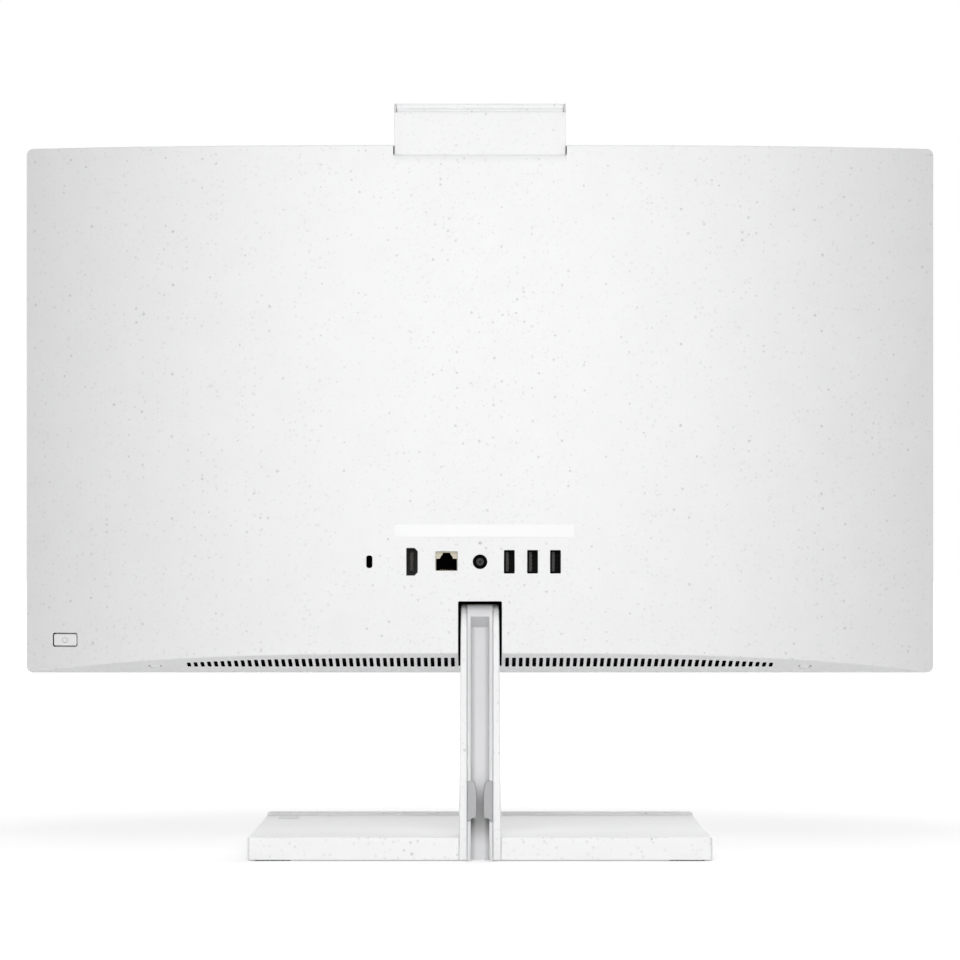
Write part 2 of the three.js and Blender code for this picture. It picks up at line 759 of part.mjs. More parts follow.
function rearCover() {
  const outer = prism(coverPlan(coverDepthAt, halfWidth, -coverEdge), 'z', bodyBottom - 1, bodyTop + 1)
    .intersect(prism(coverSide(0), 'x', -halfWidth - 1, halfWidth + 1))
    .intersect(prism(bodyOutline(0), 'y', atDepth(-coverEdge - 1), atDepth(coverDepth + 1)));
  const innerPlan = coverPlan(innerDepthAt, innerReach(), -coverEdge - 1);
  const inner = prism(innerPlan, 'z', bodyBottom - 1, bodyTop + 1)
    .intersect(prism(coverSide(coverWall), 'x', -halfWidth, halfWidth));
  const shell = join([cut(outer, inner), ...coverBosses()]);
  return cut(shell, join(ventSlots()), ...portHoles(), buttonOpening(), ...plugPockets(), cameraSlot(),
    postOpening());
}

function frontBezel() {
  const ring = prism(bodyOutline(0), 'y', atDepth(bezelFront), atDepth(-coverEdge - fitGap));
  const window = box(-halfWidth + bezelSide, halfWidth - bezelSide, atDepth(bezelFront - 1), atDepth(1),
    bodyBottom + bezelChin, bodyTop - bezelSide);
  return cut(ring, window);
}

function panelGlass() {
  const side = halfWidth - bezelSide - fitGap;
  return box(-side, side, atDepth(panelFront), atDepth(panelRear),
    bodyBottom + bezelChin + fitGap, bodyTop - bezelSide - fitGap);
}

function backlightUnit() {
  const side = halfWidth - backlightSideInset;
  return box(-side, side, atDepth(panelRear + fitGap), atDepth(backlightRear),
    bodyBottom + backlightEndInset, bodyTop - coverWall - fitGap);
}

// Places of the bosses that carry the main board.
function standoffPlaces() {
  const x = boardHalfWidth - standoffInset;
  const low = boardBottom + standoffInset;
  const high = boardBottom + boardHeight - standoffInset;
  return [[-x, low], [x, low], [-x, high], [x, high], [-x, (low + high) / 2], [x, (low + high) / 2]];
}

function chassis() {
  const side = halfWidth - chassisSideInset;
  const front = atDepth(backlightRear + fitGap);
  const rear = atDepth(chassisRear);
  const plate = box(-side, side, front, rear, bodyBottom + chassisEndInset, bodyTop - chassisEndInset);
  const root = rear - chassisThickness / 2;
  const standoffs = standoffPlaces().map(([x, z]) => {
    return rod('y', x, z, standoffRadius, root, atDepth(boardFront - fitGap), 10);
  });
  const screwTabs = [-1, 1].map((sideSign) => {
    const x = sideSign * plugX;
    const low = coverBossTop + fitGap;
    const high = low + screwTab.thickness;
    const tab = box(x - screwTab.halfWidth, x + screwTab.halfWidth, root, atDepth(plugDepth + screwTab.reach),
      low, high);
    return cut(tab, rod('z', x, atDepth(plugDepth), coverScrewRadius + fitGap, low - 1, high + 1, 12));
  });
  const fanPosts = [-1, 1].map((sign) => {
    const inset = fanSize / 2 - fanCornerRadius;
    return rod('y', fanX + sign * inset, fanZ + inset, fanPostRadius, root, atDepth(fanFront - fitGap), 10);
  });
  const finRest = box(fanX - finRestSize.halfWidth, fanX + finRestSize.halfWidth, root,
    atDepth(finRear - finStack.depth - fitGap), finBottom + finRestSize.bottom, finBottom + finRestSize.top);
  const switchRest = box(buttonX - switchRestSize.inner, buttonX - switchRestSize.outer, root,
    atDepth(switchLowest - fitGap), buttonHeight - switchRestSize.halfHeight,
    buttonHeight + switchRestSize.halfHeight);
  const cablePass = box(panelCable.x - panelCable.width / 2 - 2, panelCable.x + panelCable.width / 2 + 2,
    front - 1, rear + 1, panelCable.z - 3, panelCable.z + panelCable.foot + 3);
  return cut(join([plate, ...standoffs, ...screwTabs, ...fanPosts, finRest, switchRest]), cablePass);
}

function addScrewCovers() {
  for (const [side, direction] of [['left', -1], ['right', 1]]) {
    const x = direction * plugX;
    const y = atDepth(plugDepth);
    const plug = prism(plugOutline(0, 0), 'x', x - plugWidth / 2, x + plugWidth / 2);
    addPiece(`screw_cover_${side}`, plug, colours.white, 0.5);
    const headTop = coverScrewBottom + coverScrewHeadHeight;
    const head = rod('z', x, y, coverScrewHead, coverScrewBottom, headTop, 12);
    const shank = rod('z', x, y, coverScrewRadius, headTop - 0.5, headTop + coverScrewLength, 12);
    addPiece(`cover_screw_${side}`, head.add(shank), colours.steel, 0.35, 0.9);
  }
}

function addCovers() {
  addPiece('rear_cover', rearCover(), colours.white, 0.5);
  addPiece('front_bezel', frontBezel(), colours.white, 0.45);
  addPiece('panel_glass', panelGlass(), colours.black, 0.15);
  addPiece('backlight_unit', backlightUnit(), colours.steel, 0.5, 0.6);
  addPiece('chassis', chassis(), colours.steel, 0.45, 0.9);
  addScrewCovers();
}

// ---------------------------------------------------------------- sockets and marks at the back

const socketFront = atDepth(boardRear + fitGap);
const socketRear = atDepth(coverInner - fitGap);

function dataSocket(x) {
  const halfX = dataPort.width / 2;
  const halfZ = dataPort.height / 2;
  const shell = box(x - halfX - socketWall, x + halfX + socketWall, socketFront, socketRear,
    portHeight - halfZ - socketWall, portHeight + halfZ + socketWall);
  const cavity = box(x - halfX, x + halfX, socketFront + socketFloor, socketRear + 1,
    portHeight - halfZ, portHeight + halfZ);
  const { tongueMargin, tongueSetback } = dataPort;
  const tongueX = x + halfX - tongueMargin;
  const tongue = box(tongueX - dataPort.tongue, tongueX, socketFront + 1, socketRear - tongueSetback,
    portHeight - halfZ + tongueMargin, portHeight + halfZ - tongueMargin);
  return cut(shell, cavity).add(tongue);
}

function videoSocket() {
  const shell = prism(videoOutline(socketWall), 'y', socketFront, socketRear);
  const cavity = prism(videoOutline(0), 'y', socketFront + socketFloor, socketRear + 1);
  const tongue = box(videoPort.x + videoTongue.right, videoPort.x + videoTongue.left, socketFront + 1,
    socketRear - videoTongue.setback, portHeight - videoTongue.halfHeight,
    portHeight + videoTongue.halfHeight);
  return cut(shell, cavity).add(tongue);
}

function networkCavityOutline() {
  const { x, height, rise } = networkPort;
  const bottom = portHeight + rise - height / 2 + networkCavityLift;
  const rightSide = networkCavity.map(([dx, dz]) => [x + dx, bottom + dz]);
  const leftSide = networkCavity.map(([dx, dz]) => [x - dx, bottom + dz]).reverse();
  return [...rightSide, ...leftSide];
}

function networkSocket() {
  const { x, width, height, rise } = networkPort;
  const body = box(x - width / 2 - socketWall, x + width / 2 + socketWall, socketFront, socketRear,
    portHeight + rise - height / 2 - socketWall, portHeight + rise + height / 2 + socketWall);
  return cut(body, prism(networkCavityOutline(), 'y', socketFront + socketFloor, socketRear + 1));
}

function powerJackBody() {
  const { x, radius, postRadius, boreRadius, bodyRadius } = powerJack;
  const body = rod('y', x, portHeight, bodyRadius, socketFront, socketRear);
  const ring = rod('y', x, portHeight, radius - 0.1, socketFront + jackDepths.ringFloor, socketRear + 1);
  const post = rod('y', x, portHeight, postRadius, socketFront + 1, socketRear - jackDepths.postSetback);
  const bore = rod('y', x, portHeight, boreRadius, socketFront + jackDepths.boreFloor, socketRear + 1, 12);
  return cut(cut(body, ring).add(post), bore);
}

// Steel plate behind the lock slot.
function lockPlate() {
  const { x, width, height } = lockSlot;
  const { halfWidth: plateHalf, halfHeight, thickness } = lockPlateSize;
  const rear = innerDepthAt(x + plateHalf) - fitGap;
  const plate = box(x - plateHalf, x + plateHalf, atDepth(rear - thickness), atDepth(rear),
    portHeight - halfHeight, portHeight + halfHeight);
  const slot = box(x - width / 2, x + width / 2, atDepth(0), atDepth(coverDepth),
    portHeight - height / 2, portHeight + height / 2);
  return cut(plate, slot);
}

// Thin strip over the row of ports, curved like the cover under it.
function labelStripBody() {
  const { left, right, bottom, top, thickness, gap } = labelStrip;
  const steps = 8;
  const under = [];
  for (let i = 0; i <= steps; i += 1) {
    const x = left + (right - left) * i / steps;
    under.push([x, atDepth(coverDepthAt(x)) + gap]);
  }
  const over = under.map(([x, y]) => [x, y + thickness]).reverse();
  return prism([...under, ...over].reverse(), 'z', bottom, top);
}

function statusLightPipe() {
  const reach = atDepth(coverDepth) - 0.1;
  const pipe = rod('y', powerJack.x, statusLight.z, statusLight.radius, socketRear - 1, reach, 10);
  const base = rod('y', powerJack.x, statusLight.z, statusLight.baseRadius, socketFront, socketRear, 10);
  return pipe.add(base);
}

function addRearFittings() {
  addPiece('video_socket', videoSocket(), colours.black, 0.4, 0.2);
  addPiece('network_socket', networkSocket(), colours.beige, 0.5);
  dataPorts.forEach((x, i) => addPiece(`data_socket_${i + 1}`, dataSocket(x), colours.black, 0.4, 0.2));
  addPiece('power_jack', powerJackBody(), colours.black, 0.4);
  addPiece('lock_plate', lockPlate(), colours.steel, 0.4, 0.9);
  addPiece('label_strip', labelStripBody(), colours.white, 0.4);
  addPiece('status_light', statusLightPipe(), colours.white, 0.2);
}

// ---------------------------------------------------------------- electronics and cooling

const fanRear = pipeLevel - heatPipeRadius - 1.5;
const fanFront = fanRear - fanThickness;
const finBottom = undersideInnerAt(fanRear) + 4;
const fanBottom = finBottom + finStack.height + fitGap;
const fanZ = fanBottom + fanSize / 2;
const finRear = pipeLevel - heatPipeRadius - fitGap;
const rotorMiddle = atDepth((fanFront + fanRear) / 2);
const rotorBoreEnd = rotorMiddle + rotorThickness / 2 - rotorCap;

function addBoard() {
  const board = box(-boardHalfWidth, boardHalfWidth, atDepth(boardFront), atDepth(boardRear),
    boardBottom, boardBottom + boardHeight);
  addPiece('main_board', board, colours.board, 0.6);
  const plate = box(spreader.x - spreader.width / 2, spreader.x + spreader.width / 2,
    atDepth(boardRear + fitGap), atDepth(boardRear + fitGap + spreader.thickness),
    spreader.z - spreader.height / 2, spreader.z + spreader.height / 2);
  addPiece('heat_spreader', plate, colours.copper, 0.4, 0.9);
  const front = atDepth(boardRear + fitGap);
  const cards = { memory_module: memory, storage_card: storage, radio_card: radio };
  for (const [name, card] of Object.entries(cards)) {
    const x0 = card.x - card.width / 2;
    const x1 = card.x + card.width / 2;
    const low = card.z - card.height / 2;
    const rear = front + cardLift + card.thickness;
    const slotBlock = box(x0, x1, front, rear, low, low + cardSlotHeight);
    const stick = box(x0, x1, front + cardLift, rear, low, low + card.height);
    addPiece(name, slotBlock.add(stick), colours.black, 0.5);
  }
  const cell = rod('y', clockCell.x, clockCell.z, clockCell.radius, front, front + clockCell.thickness, 16);
  addPiece('clock_cell', cell, colours.steel, 0.3, 1);
}

// Flat cable from the back of the panel to the main board.
function panelCableBody() {
  const { x, z, width, thickness, foot } = panelCable;
  const start = atDepth(backlightRear + fitGap);
  const end = atDepth(boardFront - fitGap);
  return prism([
    [start, z], [end, z], [end, z + foot], [end - thickness, z + foot], [end - thickness, z + thickness],
    [start + thickness, z + thickness], [start + thickness, z + foot], [start, z + foot],
  ], 'x', x - width / 2, x + width / 2);
}

function heatPipe() {
  const startX = spreader.x + spreader.width / 2 - 4;
  const cornerX = fanX;
  const bottom = finBottom + 2;
  const path = new THREE.CurvePath();
  const at = (x, z) => new THREE.Vector3(x, atDepth(pipeLevel), z);
  path.add(new THREE.LineCurve3(at(startX, spreader.z), at(cornerX + heatPipeBend, spreader.z)));
  const bendEnd = at(cornerX, spreader.z - heatPipeBend);
  path.add(new THREE.QuadraticBezierCurve3(
    at(cornerX + heatPipeBend, spreader.z), at(cornerX, spreader.z), bendEnd));
  path.add(new THREE.LineCurve3(bendEnd, at(cornerX, bottom)));
  const outline = arc(0, 0, heatPipeRadius, 0, 315, 7).map(([a, b]) => new THREE.Vector2(a, b));
  return solid(new THREE.ExtrudeGeometry(new THREE.Shape(outline), { steps: 24, extrudePath: path }));
}

function finStackBody() {
  const x0 = fanX - finStack.width / 2;
  const x1 = fanX + finStack.width / 2;
  const front = finRear - finStack.depth;
  const block = box(x0, x1, atDepth(front), atDepth(finRear), finBottom, finBottom + finStack.height);
  const gaps = [];
  for (let x = x0 + finStack.fin; x + finStack.pitch <= x1; x += finStack.pitch) {
    gaps.push(box(x, x + finStack.pitch - finStack.fin, atDepth(front - 1), atDepth(finRear - finStack.fin),
      finBottom - 1, finBottom + finStack.height + 1));
  }
  return cut(block, ...gaps);
}

function fanHousing() {
  const half = fanSize / 2;
  const outline = roundedOutline(fanX - half, fanX + half, fanZ - half, fanZ + half, fanCornerRadius);
  const block = prism(outline, 'y', atDepth(fanFront), atDepth(fanRear));
  const cavityLow = atDepth(fanFront + fanWall);
  const cavityHigh = atDepth(fanRear - fanWall);
  const chamber = rod('y', fanX, fanZ, half - fanWall, cavityLow, cavityHigh, 32);
  const outlet = box(fanX - half + 2 * fanWall, fanX + half - 2 * fanWall, cavityLow, cavityHigh,
    fanZ - half - 1, fanZ - half / 2);
  const intake = rod('y', fanX, fanZ, rotorRadius * fanIntakeShare, cavityLow, atDepth(fanRear + 1), 24);
  const shaftRoot = atDepth(fanFront + fanWall / 2);
  const shaft = rod('y', fanX, fanZ, rotorShaftRadius, shaftRoot, rotorBoreEnd - fitGap, 12);
  return cut(block, chamber, outlet, intake).add(shaft);
}

function fanRotor() {
  const middle = rotorMiddle;
  const low = middle - rotorThickness / 2;
  const high = middle + rotorThickness / 2;
  const hub = rod('y', fanX, fanZ, rotorHubRadius, low, high, 22);
  const blades = Array.from({ length: rotorBlades }, (_, i) => {
    const blade = new THREE.BoxGeometry(rotorRadius - rotorHubRadius + 1, rotorThickness - 1, bladeThickness);
    blade.translate((rotorRadius + rotorHubRadius - 1) / 2, 0, 0);
    blade.rotateY(2 * Math.PI * i / rotorBlades);
    blade.translate(fanX, middle, fanZ);
    return solid(blade);
  });
  const bore = rod('y', fanX, fanZ, rotorShaftRadius + fitGap, low - 1, rotorBoreEnd, 12);
  return cut(join([hub, ...blades]), bore);
}

function addSpeakers() {
  for (const [side, direction] of [['left', -1], ['right', 1]]) {
    const outer = halfWidth - speakerSideInset;
    const x0 = Math.min(direction * outer, direction * (outer - speakerWidth));
    const front = atDepth(chassisRear + fitGap);
    const bottom = undersideInnerAt(chassisRear + speakerThickness) + speakerLift;
    const rear = front + speakerThickness;
    const boxBody = box(x0, x0 + speakerWidth, front, rear, bottom, bottom + speakerHeight);
    const mouth = rod('z', x0 + speakerWidth / 2, (front + rear) / 2, speakerThickness / 2 - speakerWall,
      bottom - 1, bottom + speakerMouthDepth, 12);
    addPiece(`speaker_${side}`, cut(boxBody, mouth), colours.black, 0.6);
  }
}

function addElectronics() {
  addBoard();
  addPiece('panel_cable', panelCableBody(), colours.copper, 0.5);
  addPiece('heat_pipe', heatPipe(), colours.copper, 0.35, 1);
  addPiece('fin_stack', finStackBody(), colours.steel, 0.4, 0.9);
  addPiece('fan_housing', fanHousing(), colours.black, 0.6);
  addPiece('fan_rotor', fanRotor(), colours.black, 0.5);
  addSpeakers();
}

// ---------------------------------------------------------------- power button

const buttonFlangeRear = -coverWall - fitGap;
const buttonFlangeFront = buttonFlangeRear - buttonFlange;
const stemTip = buttonFlangeFront - buttonStemLength;
const switchTop = stemTip - buttonTravel - fitGap;
const switchFoot = switchTop - switchHeight - switchBoardThickness;
// Smallest depth behind the rim that a corner of the switch's board reaches.
const switchLowest = coverDepthAt(buttonX) + switchFoot * Math.cos(buttonAngle)
  - (buttonStemOffset + switchSize / 2 + switchBoardMargin.side) * Math.sin(buttonAngle);

function buttonGroup() {
  const group = new THREE.Group();
  group.rotation.z = -buttonAngle;
  group.position.set(buttonX, atDepth(coverDepthAt(buttonX)), buttonHeight);
  machine.add(group);
  return group;
}

function powerButton() {
  const halfX = buttonWidth / 2;
  const halfZ = buttonTall / 2;
  const outline = roundedOutline(-halfX, halfX, -halfZ, halfZ, buttonCornerRadius, 2);
  const cap = prism(outline, 'y', buttonFlangeFront, 0);
  const lap = buttonGap + buttonFlangeLap;
  const flange = box(-halfX - lap, halfX + buttonGap + buttonFlangeOuterLap,
    buttonFlangeFront, buttonFlangeRear, -halfZ - lap, halfZ + lap);
  const stem = rod('y', buttonStemOffset, 0, buttonStemRadius, stemTip, buttonFlangeRear, 12);
  return join([cap, flange, stem]);
}

function powerSwitch() {
  const half = switchSize / 2;
  const x = buttonStemOffset;
  const dome = box(x - half, x + half, switchFoot + switchBoardThickness / 2, switchTop, -half, half);
  const { side, end } = switchBoardMargin;
  const board = box(x - half - side, x + half + side, switchFoot, switchFoot + switchBoardThickness,
    -half - end, half + end);
  return dome.add(board);
}

function addPowerButton() {
  const group = buttonGroup();
  addPiece('power_button', powerButton(), colours.white, 0.45, 0, group);
  addPiece('power_switch', powerSwitch(), colours.darkGrey, 0.5, 0, group);
}

// ---------------------------------------------------------------- pop-up camera

const cameraHalf = cameraWidth / 2;
const cradleHalf = cameraHalf - cameraCapWidth - fitGap;
const cradleEdgeDrop = 1;

function cameraCarriage() {
  const plate = box(-cameraHalf, cameraHalf, atDepth(cameraFront), atDepth(cameraRear),
    cameraTop - cameraLength, barZ);
  const cradleRadius = cameraBarRadius + cameraCradleGap;
  const cradle = rod('x', atDepth(barY), barZ, cradleRadius, -cameraHalf - 1, cameraHalf + 1, 32);
  const rearTrim = box(-cameraHalf - 1, cameraHalf + 1, atDepth(cameraFront - 1), atDepth(cameraRear + 1),
    barZ - cradleEdgeDrop, barZ + 1);
  const frontTrim = box(-cradleHalf, cradleHalf, atDepth(cameraFront - 1), atDepth(barY),
    barZ - cameraBarRadius - cameraLensProud - cameraCradleGap, barZ + 1);
  return cut(plate, cradle, rearTrim, frontTrim);
}

// Round below, so that it turns in its cradle, and nearly square above.
function cameraHead() {
  const y = atDepth(barY);
  const half = cameraBarRadius;
  const corner = cameraBarCorner;
  const outline = [
    ...arc(y, barZ, half, 180, 360, 14),
    ...arc(y + half - corner, barZ + half - corner, corner, 0, 90, 3),
    ...arc(y - half + corner, barZ + half - corner, corner, 90, 180, 3),
  ];
  const bar = prism(outline, 'x', -cradleHalf, cradleHalf);
  const bore = (side) => {
    const low = Math.min(side * (cradleHalf - cameraPinLength), side * (cradleHalf + 1));
    return rod('x', y, barZ, cameraPinRadius + fitGap, low, low + cameraPinLength + 1, 12);
  };
  const lensSeatEnd = y - half + cameraLensDepth + fitGap;
  const lensSeat = rod('y', 0, barZ, cameraLensRadius + fitGap, y - half - 1, lensSeatEnd);
  return cut(bar, bore(-1), bore(1), lensSeat);
}

function addCameraCaps() {
  for (const [side, direction] of [['left', -1], ['right', 1]]) {
    const y = atDepth(barY);
    const bottom = barZ - cradleEdgeDrop + fitGap;
    const low = Math.min(direction * cameraHalf, direction * (cameraHalf - cameraCapWidth));
    const cheek = box(low, low + cameraCapWidth, y - cameraBarRadius, y + cameraBarRadius,
      bottom, cameraTop - cameraCapDrop);
    const innerEnd = direction * (cameraHalf - cameraCapWidth / 2);
    const pinEnd = direction * (cradleHalf - cameraPinLength + 1);
    const pinLow = Math.min(innerEnd, pinEnd);
    const pinHigh = Math.max(innerEnd, pinEnd);
    const pin = rod('x', y, barZ, cameraPinRadius, pinLow, pinHigh, 12);
    addPiece(`camera_cap_${side}`, cheek.add(pin), colours.darkGrey, 0.5);
  }
}

function cameraLens() {
  const front = atDepth(barY) - cameraBarRadius - cameraLensProud;
  return rod('y', 0, barZ, cameraLensRadius, front, front + cameraLensProud + cameraLensDepth);
}

// Channels behind the cover's back wall that the carriage runs in.
function addCameraGuides() {
  const bottom = cameraTop - cameraLength - guideDrop;
  const top = bodyTop - cameraNotchDepth - guideTopGap;
  const front = atDepth(cameraFront - slideGap - guideLip.thickness);
  const lipRear = atDepth(cameraFront - slideGap);
  for (const [side, direction] of [['left', -1], ['right', 1]]) {
    const inner = cameraHalf + slideGap;
    const outer = inner + guideWidth;
    const low = Math.min(direction * inner, direction * outer);
    const rear = atDepth(innerDepthAt(outer) - fitGap);
    const rail = box(low, low + guideWidth, front, rear, bottom, top);
    const lipEnds = [direction * (inner - guideLip.lap), direction * (inner + 1)];
    const lip = box(Math.min(...lipEnds), Math.max(...lipEnds), front, lipRear, bottom, top);
    addPiece(`camera_guide_${side}`, rail.add(lip), colours.black, 0.5);
  }
}

// Push latch under the carriage's lowest place, on the cover's back wall.
function cameraLatch() {
  const top = cameraTop - cameraLength - cameraRise - fitGap;
  const rear = atDepth(innerDepthAt(latch.halfWidth) - fitGap);
  const block = box(-latch.halfWidth, latch.halfWidth, atDepth(cameraFront), rear, top - latch.height, top);
  const mouth = box(-latch.halfWidth / 2, latch.halfWidth / 2, atDepth(cameraFront) - 1,
    atDepth(barY), top - latch.height / 2, top + 1);
  return cut(block, mouth);
}

function addCamera() {
  addPiece('camera_carriage', cameraCarriage(), colours.white, 0.45);
  addPiece('camera_head', cameraHead(), colours.white, 0.45);
  addPiece('camera_lens', cameraLens(), colours.black, 0.1);
  addCameraCaps();
  addCameraGuides();
  addPiece('camera_latch', cameraLatch(), colours.darkGrey, 0.5);
}

addStand();
addHinge();
addCovers();
addRearFittings();
addElectronics();
addPowerButton();
addCamera();

export default machine;
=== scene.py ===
"""Looks of a slim all-in-one computer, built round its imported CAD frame.

Metres in the shared frame: +Z is up, the screen faces -Y and the sockets face +Y.
Inside the shape functions lengths are in millimetres; they are scaled when a mesh is made.
"""

import json
import math

import bmesh
import bpy
import numpy as np
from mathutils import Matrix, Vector


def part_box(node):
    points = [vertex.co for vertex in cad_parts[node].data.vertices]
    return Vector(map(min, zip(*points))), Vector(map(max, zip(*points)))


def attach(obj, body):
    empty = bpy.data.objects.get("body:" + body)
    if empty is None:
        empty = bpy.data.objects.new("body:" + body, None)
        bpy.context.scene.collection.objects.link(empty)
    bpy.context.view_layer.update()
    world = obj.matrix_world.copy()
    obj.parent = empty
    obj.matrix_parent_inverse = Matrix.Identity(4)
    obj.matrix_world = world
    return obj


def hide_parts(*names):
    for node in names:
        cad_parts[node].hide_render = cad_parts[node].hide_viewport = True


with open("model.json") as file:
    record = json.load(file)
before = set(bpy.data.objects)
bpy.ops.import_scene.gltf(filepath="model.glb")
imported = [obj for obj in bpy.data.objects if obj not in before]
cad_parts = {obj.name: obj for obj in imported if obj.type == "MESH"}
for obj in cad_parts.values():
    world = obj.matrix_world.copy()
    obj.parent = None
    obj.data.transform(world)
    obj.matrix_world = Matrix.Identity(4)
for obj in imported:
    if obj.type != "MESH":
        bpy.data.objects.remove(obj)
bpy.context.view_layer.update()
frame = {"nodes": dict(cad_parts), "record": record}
nodes = frame["nodes"]

MM = 0.001
QUARTER = np.pi / 2


def cad(node):
    """Lowest and highest corner of a CAD node, in millimetres."""
    low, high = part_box(node)
    return np.array(low) / MM, np.array(high) / MM


# ---- places taken from the frame

cover_low, cover_high = cad("rear_cover")
HALF_WIDTH = cover_high[0]
BODY_LOW = cover_low[2]
BODY_HIGH = cover_high[2]
RIM_LAP = 1.0  # the rim starts this far in front of the plane that depths are counted from
RIM = cover_low[1] + RIM_LAP
DEPTH = cover_high[1] - RIM
WALL = 2.5
UNDER_SLOPE = 0.29
UNDER_WALL = WALL * math.hypot(1, UNDER_SLOPE)  # the underside's wall, measured upright
TOP_SLOPE = 0.05
CORNER = 4.0
COVER_EDGE = 1.3
post_low, post_high = cad("post_shell")
REAR = post_high[1]
POST_FRONT = post_low[1]
POST_TOP = post_high[2]
POST_HALF_TOP = 11.15
POST_ROUND = 17.0
PIVOT_Y = REAR - POST_ROUND
PIVOT_Z = POST_TOP - POST_ROUND
CREASE = math.radians(32)


def cover_depth(x):
    """Depth of the cover's back behind its rim: it falls with the cube of the distance from the middle."""
    return DEPTH * (1 - np.abs(x / HALF_WIDTH) ** 3)


def cover_slope(x):
    """Derivative of the cover's depth towards the side."""
    return 3 * DEPTH * np.abs(x) ** 2 / HALF_WIDTH ** 3


# ---- outlines and shapes

def rounded(a0, a1, b0, b1, radius, steps=7):
    """Rectangle with its four corners turned on quarter circles of the radius."""
    turn = np.linspace(0, QUARTER, steps)
    sides = []
    for k, (a, b) in enumerate([(a1 - radius, b1 - radius), (a0 + radius, b1 - radius),
                                (a0 + radius, b0 + radius), (a1 - radius, b0 + radius)]):
        angle = turn + k * QUARTER
        sides.append(np.stack([a + radius * np.cos(angle), b + radius * np.sin(angle)], 1))
    return np.concatenate(sides)


def bow(a, b, radius, start, end, steps):
    """Points on an arc about a centre, from one angle to another in degrees."""
    angle = np.radians(np.linspace(start, end, steps))
    return np.stack([a + radius * np.cos(angle), b + radius * np.sin(angle)], 1)


def circle(a, b, radius, sides=40):
    """Points at equal angles round a centre."""
    angle = np.linspace(0, 2 * np.pi, sides, endpoint=False)
    return np.stack([a + radius * np.cos(angle), b + radius * np.sin(angle)], 1)


def inset(points, distance):
    """Moves every edge of an anticlockwise outline inwards by the distance, mitred at its corners."""
    edge = np.roll(points, -1, 0) - points
    edge = edge / np.maximum(np.linalg.norm(edge, axis=1, keepdims=True), 1e-9)
    normal = np.stack([-edge[:, 1], edge[:, 0]], 1)
    mitre = normal + np.roll(normal, 1, 0)
    mitre = mitre / np.maximum((mitre ** 2).sum(1, keepdims=True) / 2, 0.35)
    return points + distance * mitre


def loft(rings):
    """Closed skin over rings of equal length: point j of ring i joins its neighbours j+1 and i+1."""
    rings = np.asarray(rings, float)
    count, size = rings.shape[:2]
    i, j = np.meshgrid(np.arange(count - 1), np.arange(size), indexing="ij")
    k = (j + 1) % size
    quads = np.stack([i * size + j, i * size + k, (i + 1) * size + k, (i + 1) * size + j], -1)
    ends = [list(range(size))[::-1], list(range((count - 1) * size, count * size))]
    return rings.reshape(-1, 3), quads.reshape(-1, 4).tolist() + ends


def along(points, level, axis):
    """Outline points placed at a level of the axis: (x, y) for z, (x, z) for y, (y, z) for x."""
    a, b = points[:, 0], points[:, 1]
    level = np.broadcast_to(np.asarray(level, float), a.shape)
    order = {"x": (level, a, b), "y": (a, level, b), "z": (a, b, level)}[axis]
    return np.stack(order, 1)


def slab(points, low, high, axis="z", low_round=0.0, high_round=0.0, steps=5, spans=1):
    """Outline carried along an axis, with its two ends turned in on quarter circles of their own radius."""
    turn = np.linspace(0, QUARTER, steps)
    stations = [(low + low_round * (1 - math.sin(a)), low_round * (1 - math.cos(a)))
                for a in (turn[::-1] if low_round else [0.0])]
    stations += [(level, 0.0) for level in np.linspace(low + low_round, high - high_round, spans + 1)[1:-1]]
    stations += [(high - high_round * (1 - math.sin(a)), high_round * (1 - math.cos(a)))
                 for a in (turn if high_round else [0.0])]
    return loft([along(inset(points, d), level, axis) for level, d in stations])


def block(x0, x1, y0, y1, z0, z1, edge=0.0):
    """Upright box whose vertical corners and both ends are rounded by the edge radius."""
    if edge:
        return slab(rounded(x0, x1, y0, y1, edge, 4), z0, z1, "z", edge, edge, 4)
    return slab(np.array([[x0, y0], [x1, y0], [x1, y1], [x0, y1]], float), z0, z1)


def rod(axis, a, b, radius, low, high, edge=0.0, sides=40):
    """Round bar along an axis, with its end edges rounded."""
    return slab(circle(a, b, radius, sides), low, high, axis, edge, edge)


def facing(level, axis="y", turn=1):
    """For flared(): a flat face at a level of an axis; turn is -1 where it looks towards minus."""
    return lambda points, offset: along(points, level + turn * offset, axis)


def flared(points, low, high, flare, place):
    """Cutter whose wall turns outwards on a quarter circle of the flare as it meets a surface at offset 0.

    place(points, offset) puts an outline at an offset from that surface, positive outside it. The marks are
    on the straight wall and the far end only, so the turned mouth keeps the first finish.
    """
    rings = [place(points, low), place(points, -flare)]
    for angle in np.radians([22.5, 45.0, 67.5, 80.0]):
        rings.append(place(inset(points, -flare * (1 - math.cos(angle))), flare * (math.sin(angle) - 1)))
    rings.append(place(inset(points, -flare), 0.004))
    rings.append(place(inset(points, -flare), high))
    verts, faces = loft(rings)
    size = len(points)
    return verts, faces, [face < size or face == len(faces) - 2 for face in range(len(faces))]


def moved(shape, change):
    """The same faces over changed points."""
    return (change(shape[0]), *shape[1:])


def both_sides(shape):
    """The shape and its mirror image over the middle plane, whose faces are turned to match."""
    return [shape, (shape[0] * np.array([-1, 1, 1]), [face[::-1] for face in shape[1]], *shape[2:])]


def together(shapes):
    """Several shapes as one list of points, faces and marks of the faces that take a second finish."""
    points, faces, marks, start = [], [], [], 0
    for verts, polygons, *marked in shapes:
        points.append(verts)
        faces += [[v + start for v in polygon] for polygon in polygons]
        marks += marked[0] if marked else [True] * len(polygons)
        start += len(verts)
    return np.concatenate(points), faces, marks


# ---- meshes and pieces

